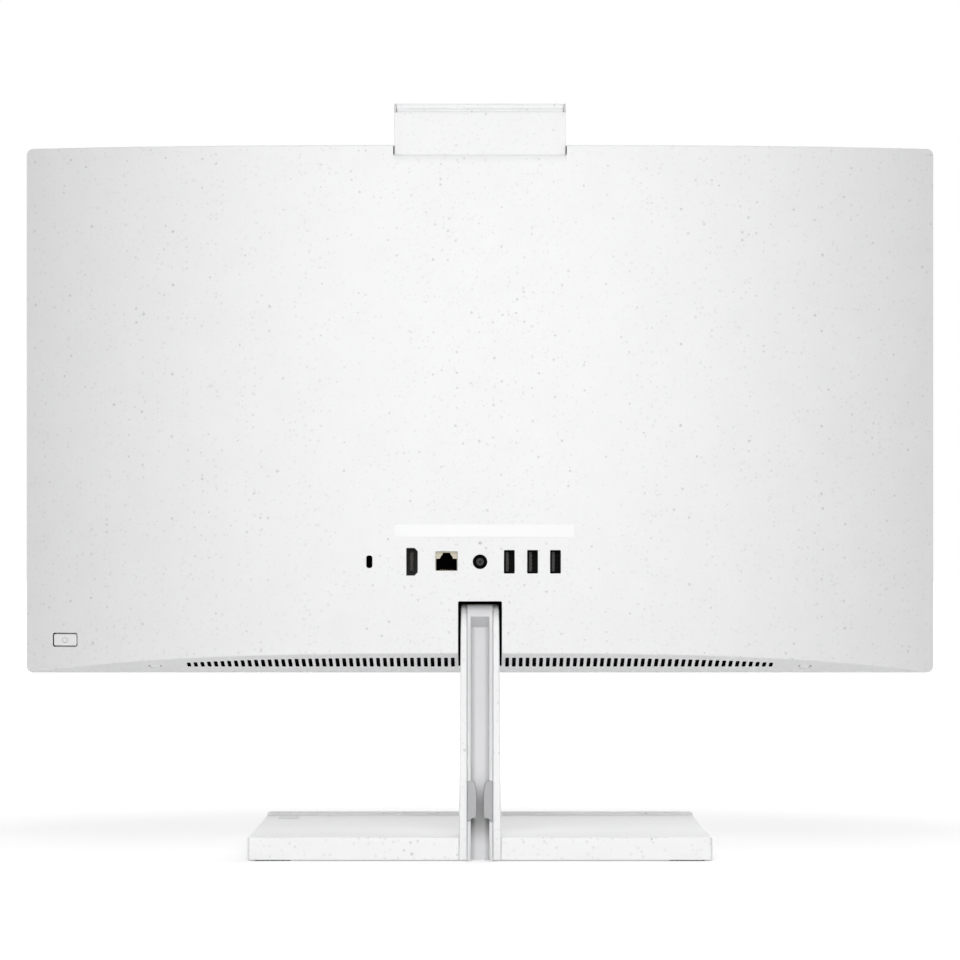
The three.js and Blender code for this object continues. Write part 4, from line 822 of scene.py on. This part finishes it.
def build_vent_shade_sheets():
    """Near-black thin sheets a little above the vents, ending short of the cover's back: painted shade behind
    the vents.
    """
    thick = above = 0.25
    across, run = np.meshgrid(np.linspace(13.6, 175.4, 60), np.linspace(11.0, 34.5, 9), indexing="ij")
    reach = np.minimum(run, cover_depth(across) - WALL * 1.25 - 1.0)
    z = BODY_LOW + UNDER_SLOPE * reach + UNDER_WALL + above
    for name, side in (("right", 1), ("left", -1)):
        under = np.stack([side * across, RIM + reach, z], -1)
        over = under + np.array([0, 0, thick])
        rings = np.concatenate([under, over[:, ::-1]], 1)
        piece(f"vent_shade_sheet_{name}", loft(rings), "vent_sheet_shade", "display", "card_black")


build_plugs()
build_lock_well()
build_label()
build_vent_shade_sheets()


# ---- sockets

SOCKET_FACE = cad("power_jack")[1][1]
SOCKET_BACK = cad("power_jack")[0][1]


def socket_part(name, shape, finish, stands_for=(), cuts=(), slot="socket_black"):
    """A piece of a socket, which rides the display."""
    piece(name, shape, finish, "display", slot, stands_for, cuts)


def build_data_sockets():
    """Each has a folded metal shell in a black moulding, and a tongue with four contacts."""
    face = SOCKET_FACE
    for number, x in enumerate(DATA_X, 1):
        mouth = data_outline(x)
        body = rounded(x - 4.1, x + 4.1, PORT_Z - DATA_TALL - 1, PORT_Z + DATA_TALL + 1, 0.8, 4)
        socket_part(f"data_port_{number}", slab(body, SOCKET_BACK, face, "y", 0.2, 0.2, 3), "socket_black",
                    [f"data_socket_{number}"], [flared(mouth, -14.3, 2.0, 0.2, facing(face))])
        socket_part(f"data_shell_{number}", slab(inset(mouth, 0.03), face - 14.2, face - 0.25, "y"),
                    "socket_black", cuts=[slab(inset(mouth, 0.3), face - 13.9, face + 1, "y")])
        tongue = block(x + 0.3, x + 2.1, face - 14.0, face - 3.0, PORT_Z - 5.85, PORT_Z + 5.85, 0.25)
        socket_part(f"data_tongue_{number}", tongue, "tongue_grey")
        contacts = [block(x + 0.16, x + 0.32, face - 13.0, face - 4.6, z - 0.5, z + 0.5, 0.06)
                    for z in PORT_Z + np.array([-3.5, -1.0, 1.0, 3.5])]
        socket_part(f"data_contacts_{number}", together(contacts), "contact_gold")


def build_video_socket():
    """A chamfered mouth round a tongue that carries two rows of fine contacts."""
    face = SOCKET_FACE
    mouth = video_outline()
    socket_part("video_port", slab(video_outline(1.0), SOCKET_BACK, face, "y", 0.2, 0.2, 3), "socket_black",
                ["video_socket"], [flared(mouth, -14.3, 2.0, 0.2, facing(face))])
    socket_part("video_shell", slab(inset(mouth, 0.03), face - 14.2, face - 0.2, "y"), "shell_metal",
                cuts=[slab(inset(mouth, 0.35), face - 13.9, face + 1, "y")])
    tongue = block(VIDEO_X - 0.6, VIDEO_X + 1.0, face - 14.0, face - 2.0, PORT_Z - 5.6, PORT_Z + 5.6, 0.2)
    socket_part("video_tongue", tongue, "card_black")
    rows = [block(VIDEO_X + dx, VIDEO_X + dx + 0.1, face - 12.0, face - 2.6, z - 0.18, z + 0.18)
            for z in PORT_Z + np.linspace(-4.9, 4.9, 10) for dx in (-0.68, 0.98)]
    socket_part("video_contacts", together(rows), "contact_gold")


def build_network_socket():
    """A beige jack with a stepped black mouth and eight spring wires."""
    face = SOCKET_FACE
    low, high = cad("network_socket")
    body = slab(rounded(low[0], high[0], low[2], high[2], 0.5, 4), SOCKET_BACK, face, "y", 0.2, 0.15, 3)
    obj = make_object("network_port", body, ["socket_beige", "gap_black"])
    floor_z = PORT_Z + 0.4 - 5.7 + 0.2
    half = np.array([[6.1, 0], [6.1, 6.9], [3.9, 6.9], [3.3, 8.3], [2.5, 9.2], [2.0, 10.4]])
    left = half * np.array([-1, 1])
    mouth = np.concatenate([half, left[::-1]]) + np.array([NETWORK_X, floor_z])
    combine(obj, [slab(mouth, face - 14.3, face + 1, "y")], finish=1)
    place(obj, "display", "socket_beige", ["network_socket"])
    section = np.array([[0.16, 0, 0.1], [-0.16, 0, 0.1], [-0.16, 0, -0.1], [0.16, 0, -0.1]])
    run = np.linspace(0, 1, 12)
    wires = []
    for x in NETWORK_X + np.linspace(-3.57, 3.57, 8):
        path = np.stack([np.full_like(run, x), face - 6.0 - 7.0 * run, floor_z + 0.3 + 3.6 * run ** 1.3], 1)
        wires.append(loft(path[:, None] + section))
    socket_part("network_wires", together(wires), "contact_gold", slot="socket_beige")


def build_power_jack():
    """Black round socket: a deep ring about a hollow post with a rounded mouth; and the light over it."""
    face = SOCKET_FACE
    ring = flared(circle(JACK_X, PORT_Z, 4.15, 56), -12.3, 2.0, 0.25, facing(face))
    socket_part("jack_body", rod("y", JACK_X, PORT_Z, 6.4, SOCKET_BACK, face, 0.2, 56), "socket_black",
                ["power_jack"], [ring])
    socket_part("jack_post", rod("y", JACK_X, PORT_Z, 2.3, face - 12.5, face - 1.5, 0.35, 40), "tongue_grey",
                cuts=[rod("y", JACK_X, PORT_Z, 0.75, face - 11.3, face + 1, sides=28)])
    sleeve = rod("y", JACK_X, PORT_Z, 0.65, face - 12.0, face - 9.5, sides=24)
    socket_part("jack_sleeve", sleeve, "card_black")
    socket_part("light_pipe", rod("y", JACK_X, LIGHT_Z, 0.7, face - 1, RIM + DEPTH - 0.12, 0.15, 20),
                "clear_light", ["status_light"], slot="clear_light")


build_data_sockets()
build_video_socket()
build_network_socket()
build_power_jack()


# ---- power button

def build_button():
    """The key's cap with rounded edges on its wider foot, and the ring-and-bar sign on it."""
    cap = slab(rounded(-KEY_HALF, KEY_HALF, -KEY_TALL, KEY_TALL, 0.9), -3.5, 0.0, "y", 0.0, 0.3, 6)
    obj = make_object("power_key_cap", moved(cap, button_frame), ["white_key"])
    foot = block(-9.9, 8.7, -3.6, -2.8, -6.35, 6.35)
    stem = rod("y", -5.0, 0.0, 1.4, -4.2, -3.2, sides=20)
    for shape in (foot, stem):
        combine(obj, [moved(shape, button_frame)], "UNION")
    place(obj, "power_key", "white_shell", ["power_button"])
    angle = np.radians(np.linspace(125, 415, 40))
    across = np.array([[1.45, -0.05], [1.85, -0.05], [1.85, 0.012], [1.45, 0.012]])
    out, level = across.T
    rings = [np.stack([out * math.cos(a), level, out * math.sin(a)], 1) for a in angle]
    bar = slab(rounded(-0.2, 0.2, 0.35, 2.05, 0.1, 3), -0.05, 0.012, "y")
    sign = together([loft(rings), bar])
    piece("power_sign", moved(sign, button_frame), "sign_grey", "power_key", "dark_trim")


build_button()


# ---- pop-up camera

BAR_RADIUS = 4.0
BAR_Y = (camera_low[1] + camera_high[1]) / 2
head_low, head_high = cad("camera_head")
BAR_Z = (head_low[2] + head_high[2]) / 2


def build_camera_plate():
    """Sliding plate, cut back to a cradle for the bar."""
    low, high = camera_low, camera_high
    outline = rounded(low[0], high[0], low[2], high[2], 0.6, 4)
    obj = make_object("camera_plate", slab(outline, low[1], high[1], "y", 0.4, 0.4, 5), ["white_shell"])
    combine(obj, [rod("x", BAR_Y, BAR_Z, 4.35, low[0] - 1, high[0] + 1, sides=64)])
    combine(obj, [block(head_low[0] - 0.3, head_high[0] + 0.3, low[1] - 1, BAR_Y, BAR_Z - 4.65, BAR_Z + 1)])
    place(obj, "camera_slider", "white_shell", ["camera_carriage"])


def build_camera_bar():
    """Bar with a round underside, rounded top edges and a groove along its back."""
    square, corner = 2.6, 1.4
    groove = np.array([[3.86, -1.05], [3.3, -0.65], [2.75, -0.3], [2.55, 0.05], [2.7, 0.4], [3.3, 0.85],
                       [3.97, 1.25]])
    profile = np.concatenate([bow(BAR_Y, BAR_Z, BAR_RADIUS, 180, 346, 40), groove + (BAR_Y, BAR_Z),
                              bow(BAR_Y + square, BAR_Z + square, corner, 0, 90, 8),
                              bow(BAR_Y - square, BAR_Z + square, corner, 90, 180, 8)])
    head = make_object("camera_bar_shell", slab(profile, head_low[0], head_high[0], "x", 0.3, 0.3, 4, 32),
                       ["white_shell", "gap_black"])
    # Painted shade: the seat's wall, a narrow gap round the lens ring, takes gap_black.
    seat = flared(circle(0.0, BAR_Z, 2.5, 48), -2.0, 2.0, 0.25, facing(BAR_Y - BAR_RADIUS, turn=-1))
    combine(head, [seat], finish=1)
    deep = 5
    combine(head, [rod("x", BAR_Y, BAR_Z, 1.5, head_high[0] - deep, head_high[0] + 1, sides=20),
                   rod("x", BAR_Y, BAR_Z, 1.5, head_low[0] - 1, head_low[0] + deep, sides=20)])
    place(head, "camera_bar", "white_shell", ["camera_head"])


def build_lens():
    """Ring with a dished mouth, and the dome in it."""
    low, high = cad("camera_lens")
    dish = flared(circle(0.0, BAR_Z, 1.45, 40), -0.55, 1.0, 0.2, facing(low[1], turn=-1))
    piece("lens_ring", rod("y", 0.0, BAR_Z, 2.2, low[1], high[1], 0.12, 48), "card_black", "camera_bar",
          "lens_glass", ["camera_lens"], [dish])
    radius = 1.4
    turn = np.linspace(0, 2 * np.pi, 40, endpoint=False)
    rings = [np.stack([radius * math.cos(a) * np.cos(turn),
                       np.full_like(turn, low[1] + 0.62 - 0.5 * math.sin(a)),
                       BAR_Z + radius * math.cos(a) * np.sin(turn)], 1)
             for a in np.linspace(0, QUARTER, 9)[:-1]]
    piece("lens_dome", loft(rings), "lens_glass", "camera_bar", "lens_glass")


def build_cheeks():
    """End caps of the plate, each with a pin that carries the bar."""
    for name in ("left", "right"):
        low, high = cad(f"camera_cap_{name}")
        side = 1 if high[0] > 0 else -1
        inner, outer = sorted((side * CAMERA_HALF, side * (CAMERA_HALF - 1.2)))
        pin_low, pin_high = sorted((side * (CAMERA_HALF - 0.6), side * (head_high[0] - 4)))
        outline = rounded(BAR_Y - BAR_RADIUS, BAR_Y + BAR_RADIUS, low[2], head_high[2] - 0.1, 0.9, 5)
        cheek = slab(outline, inner, outer, "x", 0.25, 0.25, 4)
        cap = make_object(f"camera_cheek_{name}", cheek, ["dark_trim"])
        combine(cap, [rod("x", BAR_Y, BAR_Z, 1.2, pin_low, pin_high, sides=20)], "UNION")
        place(cap, "camera_slider", "dark_trim", [f"camera_cap_{name}"])


build_camera_plate()
build_camera_bar()
build_lens()
build_cheeks()


# ---- stand

FRONT_ROUND = 9.0


def lip_ring(low, high, level, reach, less):
    """Plan of the front lip at a level: the base's front edge and corners, as far back as the reach."""
    radius = FRONT_ROUND - less
    start = math.degrees(math.asin(min(0.0, max(-1.0, (reach - FRONT_ROUND) / radius))))
    right = bow(high[0] - FRONT_ROUND, low[1] + FRONT_ROUND, radius, start, -90, 16)
    left = bow(low[0] + FRONT_ROUND, low[1] + FRONT_ROUND, radius, -90, -180 - start, 16)
    return along(np.concatenate([right[:1], right, left, left[-1:]]), level, "z")


def build_base():
    """Flat base cover: a rounded slab, open below, with a raised front lip and a notch for the post."""
    low, high = cad("base_cover")
    top = high[2] - 2.7
    outline = np.concatenate([
        bow(high[0] - 2, high[1] - 2, 2, 0, 90, 9), bow(low[0] + 2, high[1] - 2, 2, 90, 180, 9),
        bow(low[0] + FRONT_ROUND, low[1] + FRONT_ROUND, FRONT_ROUND, 180, 270, 16),
        bow(high[0] - FRONT_ROUND, low[1] + FRONT_ROUND, FRONT_ROUND, 270, 360, 16)])
    obj = make_object("base_shell", slab(outline, low[2], top, "z", 0.35, 1.1, 7),
                      ["white_base", "inside_painted_shade"])
    # The lip's rear face leaves the slab on a small fillet, then rises and turns over to the front.
    reach, fillet, rise = 6.2, 0.7, 2.0
    stations = [(top - 3.0, reach, 0.0), (top, reach, 0.0)]
    stations += [(top + fillet * (1 - math.sin(a)), reach - math.cos(a), 0.0)
                 for a in np.linspace(QUARTER, 0, 7)]
    stations += [(top + fillet + rise * math.sin(a), 5.2 - 2.6 * (1 - math.cos(a)), 0.5 * (1 - math.cos(a)))
                 for a in np.linspace(0, QUARTER, 11)[1:]]
    combine(obj, [loft([lip_ring(low, high, *station) for station in stations])], "UNION")
    wall = 2.4
    hollow = rounded(low[0] + wall, high[0] - wall, low[1] + wall, high[1] - wall, 2.6)
    combine(obj, [slab(hollow, -1.0, top - wall)], finish=1)
    foot_half = post_high[0] + 0.06
    notch = rounded(-foot_half, foot_half, POST_FRONT - 0.1, high[1] + 6, 0.8, 4)
    combine(obj, [flared(notch, -17.0, 6.0, 0.12, facing(top, "z"))])
    place(obj, "stand", "white_shell", ["base_cover"])


def build_feet():
    """Rubber pads with rounded edges and shallow grooves across their soles."""
    for name in ("front_left", "front_right", "rear_left", "rear_right"):
        low, high = cad(f"foot_{name}")
        pad = slab(rounded(low[0], high[0], low[1], high[1], 2.0), low[2], high[2], "z", 0.35, 0.15, 5)
        grooves = [block(x - 0.3, x + 0.3, low[1] - 1, high[1] + 1, -1, 0.3)
                   for x in np.linspace(low[0] + 3, high[0] - 3, 6)]
        piece(f"rubber_pad_{name}", pad, "rubber_feet", "stand", "rubber_feet", [f"foot_{name}"], grooves)


def build_badge():
    """Thin bare plate on the base."""
    low, high = cad("base_badge")
    plate = slab(rounded(low[0], high[0], low[1], high[1], 1.5), low[2], high[2], "z", 0.0, 0.15, 4)
    piece("bare_badge", plate, "silver_plastic", "stand", "silver_plastic", ["base_badge"])


def post_side(outline, side, less):
    """Side outline (y, z) at the post's half width, which tapers evenly from foot to top, less an amount."""
    share = (outline[:, 1] - post_low[2] + 1) / (POST_TOP - post_low[2] + 2)
    half = post_high[0] + (POST_HALF_TOP - post_high[0]) * share - less
    return np.stack([side * half, outline[:, 0], outline[:, 1]], 1)


def post_outline(offset, bottom):
    """Side of the post: straight front and back under a round top about the tilt axis."""
    radius = POST_ROUND - offset
    front = POST_FRONT + offset
    angle = math.degrees(math.acos((front - PIVOT_Y) / radius))
    return np.concatenate([[[front, bottom], [REAR - offset, bottom]],
                           bow(PIVOT_Y, PIVOT_Z, radius, 0, angle, 40)])


def build_post():
    """Tapering hollow post with rounded side edges, open at the back between two flanges."""
    edge = 1.0
    turn = np.linspace(0, QUARTER, 7)
    outline = post_outline(0.0, post_low[2])
    rings = [post_side(inset(outline, edge * (1 - math.cos(a))), side, edge * (1 - math.sin(a)))
             for side, angles in ((-1, turn[::-1]), (1, turn)) for a in angles]
    obj = make_object("post_skin", loft(rings), ["white_post", "gap_black"])
    # Painted shade: the post's hollow, its pivot bore and the cut at its foot take gap_black.
    void = loft([post_side(post_outline(2.2, post_low[2] - 1), side, WALL) for side in (-1, 1)])
    combine(obj, [void], finish=1)
    slot_half = 7.72
    front = cad("cable_channel")[0][1] - 0.3
    mouth = rounded(-slot_half, slot_half, post_low[2] - 20, POST_TOP + 20, 0.4, 4)
    combine(obj, [flared(mouth, front - REAR, 4.0, 0.15, facing(REAR))])
    combine(obj, [rod("x", PIVOT_Y, PIVOT_Z, 3.3, -20, 20, sides=40)], finish=1)
    combine(obj, [block(-7.5, 7.5, POST_FRONT - 1, POST_FRONT + 3.5, -1, 8.5)], finish=1)
    place(obj, "stand", "white_shell", ["post_shell"])


CHANNEL_REAR = REAR + 2.0
TROUGH_HALF, TROUGH_SIDE = 5.5, 5.0
WING_HALF, WING_THICK = 7.3, 2.0
CLIP_LOW, CLIP_HIGH = 23.4, 47.0


def trough(half, mouth):
    """Cross outline of the cable trough: straight sides, wide-rounded corners and a flat floor."""
    corner = 0.58 * half
    centre = CHANNEL_REAR - TROUGH_SIDE - half + corner
    left = bow(corner - half, centre, corner, 180, 270, 12)
    right = bow(half - corner, centre, corner, 270, 360, 12)
    return np.concatenate([[[-half, mouth]], left, right, [[half, mouth]]])


def build_channel():
    """Upright insert with a round-topped back and a trough that runs out near its top."""
    low, high = cad("cable_channel")
    rear, front = high[1], low[1]
    top_round = 11.5
    side = np.concatenate([[[front, low[2]], [rear, low[2]]],
                           bow(rear - top_round, POST_TOP - top_round, top_round, 0, 90, 24),
                           [[front, POST_TOP]]])
    obj = make_object("channel_insert", slab(side, low[0], high[0], "x", 0.4, 0.4, 6), ["silver_plastic"])
    outline = trough(TROUGH_HALF, rear + 3)
    deep = rear - TROUGH_SIDE - TROUGH_HALF - 1
    run_out = along(outline, 136.0, "z")
    run_out[:, 2] += 8.5 * np.clip((outline[:, 1] - deep) / (rear + 1 - deep), 0, None)
    combine(obj, [loft([along(outline, level, "z") for level in (low[2] - 2, 60.0, 110.0)] + [run_out])])
    gap, seat_half = 0.3, 8.5
    combine(obj, [block(-seat_half, seat_half, CHANNEL_REAR - WING_THICK - gap, CHANNEL_REAR + 1,
                        CLIP_LOW - gap, CLIP_HIGH + gap)])
    place(obj, "stand", "silver_plastic", ["cable_channel"])


def build_clip():
    """Springy sleeve in the trough with two flared wings over the channel's lips, split down the middle."""
    rear = CHANNEL_REAR
    outer, inner = 5.2, 4.5
    low, high, half = CLIP_LOW, CLIP_HIGH, WING_HALF
    wings = np.array([[-half, low], [-inner, low + 2], [inner, low + 2], [half, low], [half, high],
                      [inner, high], [inner - 1, high - 0.8], [1 - inner, high - 0.8], [-inner, high],
                      [-half, high]])
    obj = make_object("clip_body", slab(wings, rear - WING_THICK, rear, "y", 0.15, 0.4, 5), ["clip_plastic"])
    combine(obj, [slab(trough(outer, rear - 0.5), 25.4, 43.0, "z", 0.2, 0.2, 3)], "UNION")
    combine(obj, [slab(trough(inner, rear - WING_THICK), -2.0, 60.0)])
    slot, mouth = 2.0, 2.9
    right = np.array([[slot + 0.3, -5.0], [slot + 0.3, 25.0], [slot, 29.0], [slot, 38.0], [slot + 0.3, 42.0],
                      [mouth, 46.0], [mouth + 1.0, 60.0]])
    left = right[::-1] * np.array([-1, 1])
    gap = np.concatenate([left[-1:], right, left[:-1]])
    combine(obj, [flared(gap, -3.0, 2.0, 0.55, facing(rear))])
    vee = np.array([[0.6, 30.5], [4.9, 41.5], [6.5, 60.0], [-6.5, 60.0], [-4.9, 41.5], [-0.6, 30.5]])
    combine(obj, [slab(vee, rear - 14.0, rear - WING_THICK, "y")])
    place(obj, "stand", "clip_plastic", ["cable_clip"])


build_base()
build_feet()
build_badge()
build_post()
build_channel()
build_clip()


# ---- camera, lights and stage

def add_area(name, place, target, size, power, spread_angle=180):
    """Soft rectangular lamp of a width and height, which isn't seen by the camera."""
    light = bpy.data.lights.new(name, "AREA")
    light.shape = "RECTANGLE"
    light.size, light.size_y = size
    light.energy = power
    light.spread = math.radians(spread_angle)
    lamp = in_scene(name, light)
    lamp.location = place
    lamp.rotation_euler = (Vector(target) - Vector(place)).to_track_quat("-Z", "Y").to_euler()
    lamp.visible_camera = False


def stage_surface(name, colour, strength):
    """Pale stage material: it takes the object's shadow, and shows a little brighter to the camera."""
    material, tree, shader = new_material(name, Base_Color=(*colour, 1), Roughness=1.0,
                                          Specular_IOR_Level=0.0, Emission_Color=(1, 1, 1, 1))
    path = node(tree, "ShaderNodeLightPath").outputs
    seen = maths(tree, "MAXIMUM", path["Is Camera Ray"], path["Is Glossy Ray"])
    here = node(tree, "ShaderNodeTexCoord").outputs["Object"]
    away = node(tree, "ShaderNodeVectorMath", {"operation": "LENGTH"}, n0=here).outputs["Value"]
    glow = spread(tree, away, 0.35, 1.5, strength, 1.0)
    tree.links.new(maths(tree, "MULTIPLY", seen, glow), shader.inputs["Emission Strength"])
    return material


REACH = 60.0
floor_mesh = bpy.data.meshes.new("floor")
floor_mesh.from_pydata([(-REACH, -REACH, 0), (REACH, -REACH, 0), (REACH, REACH, 0), (-REACH, REACH, 0)], [],
                       [(0, 1, 2, 3)])
floor_mesh.materials.append(stage_surface("floor_white", (0.9, 0.9, 0.9), 0.35))
floor = in_scene("floor", floor_mesh)

world = bpy.data.worlds.new("studio")
bpy.context.scene.world = world
world.use_nodes = True
sky = world.node_tree
background = sky.nodes["Background"]
path = node(sky, "ShaderNodeLightPath").outputs
background.inputs["Color"].default_value = (1, 1, 1, 1)
seen = maths(sky, "MAXIMUM", maths(sky, "MAXIMUM", path["Is Camera Ray"], path["Is Glossy Ray"]),
             path["Is Transmission Ray"])
sky.links.new(spread(sky, seen, 0.0, 1.0, 0.15, 1.0), background.inputs["Strength"])

middle = (0, REAR * MM, 0.27)
add_area("rear_key", (0.0, 0.85, 0.41), middle, (0.5, 0.5), 3.15)
add_area("rear_low", (0.0, 0.75, 0.02), (0, REAR * MM, 0), (0.7, 0.12), 0.03, 16)
add_area("rear_top", (0.0, 1.5, 1.5), middle, (1.2, 1.2), 5.8)
add_area("overhead", (0.0, -0.1, 2.2), (0, 0, 0), (1.6, 1.6), 12.0)
add_area("front_key", (-1.0, -1.8, 1.0), (0, 0, 0.27), (1.2, 1.2), 16.0)
add_area("front_fill", (1.2, -1.6, 0.7), (0, 0, 0.27), (1.2, 1.2), 10.0)

bpy.context.scene.view_settings.view_transform = "Standard"
camera_data = bpy.data.cameras.new("camera")
camera_data.lens = 147.5
camera_data.sensor_width = 36.0
camera_data.shift_y = 0.0948
camera_data.clip_start, camera_data.clip_end = 0.05, 200.0
camera = in_scene("camera", camera_data)
camera.location = (0.0, 2.40125, 0.1698)
camera.rotation_euler = (QUARTER, 0, math.pi)
bpy.context.scene.camera = camera

bpy.context.view_layer.update()
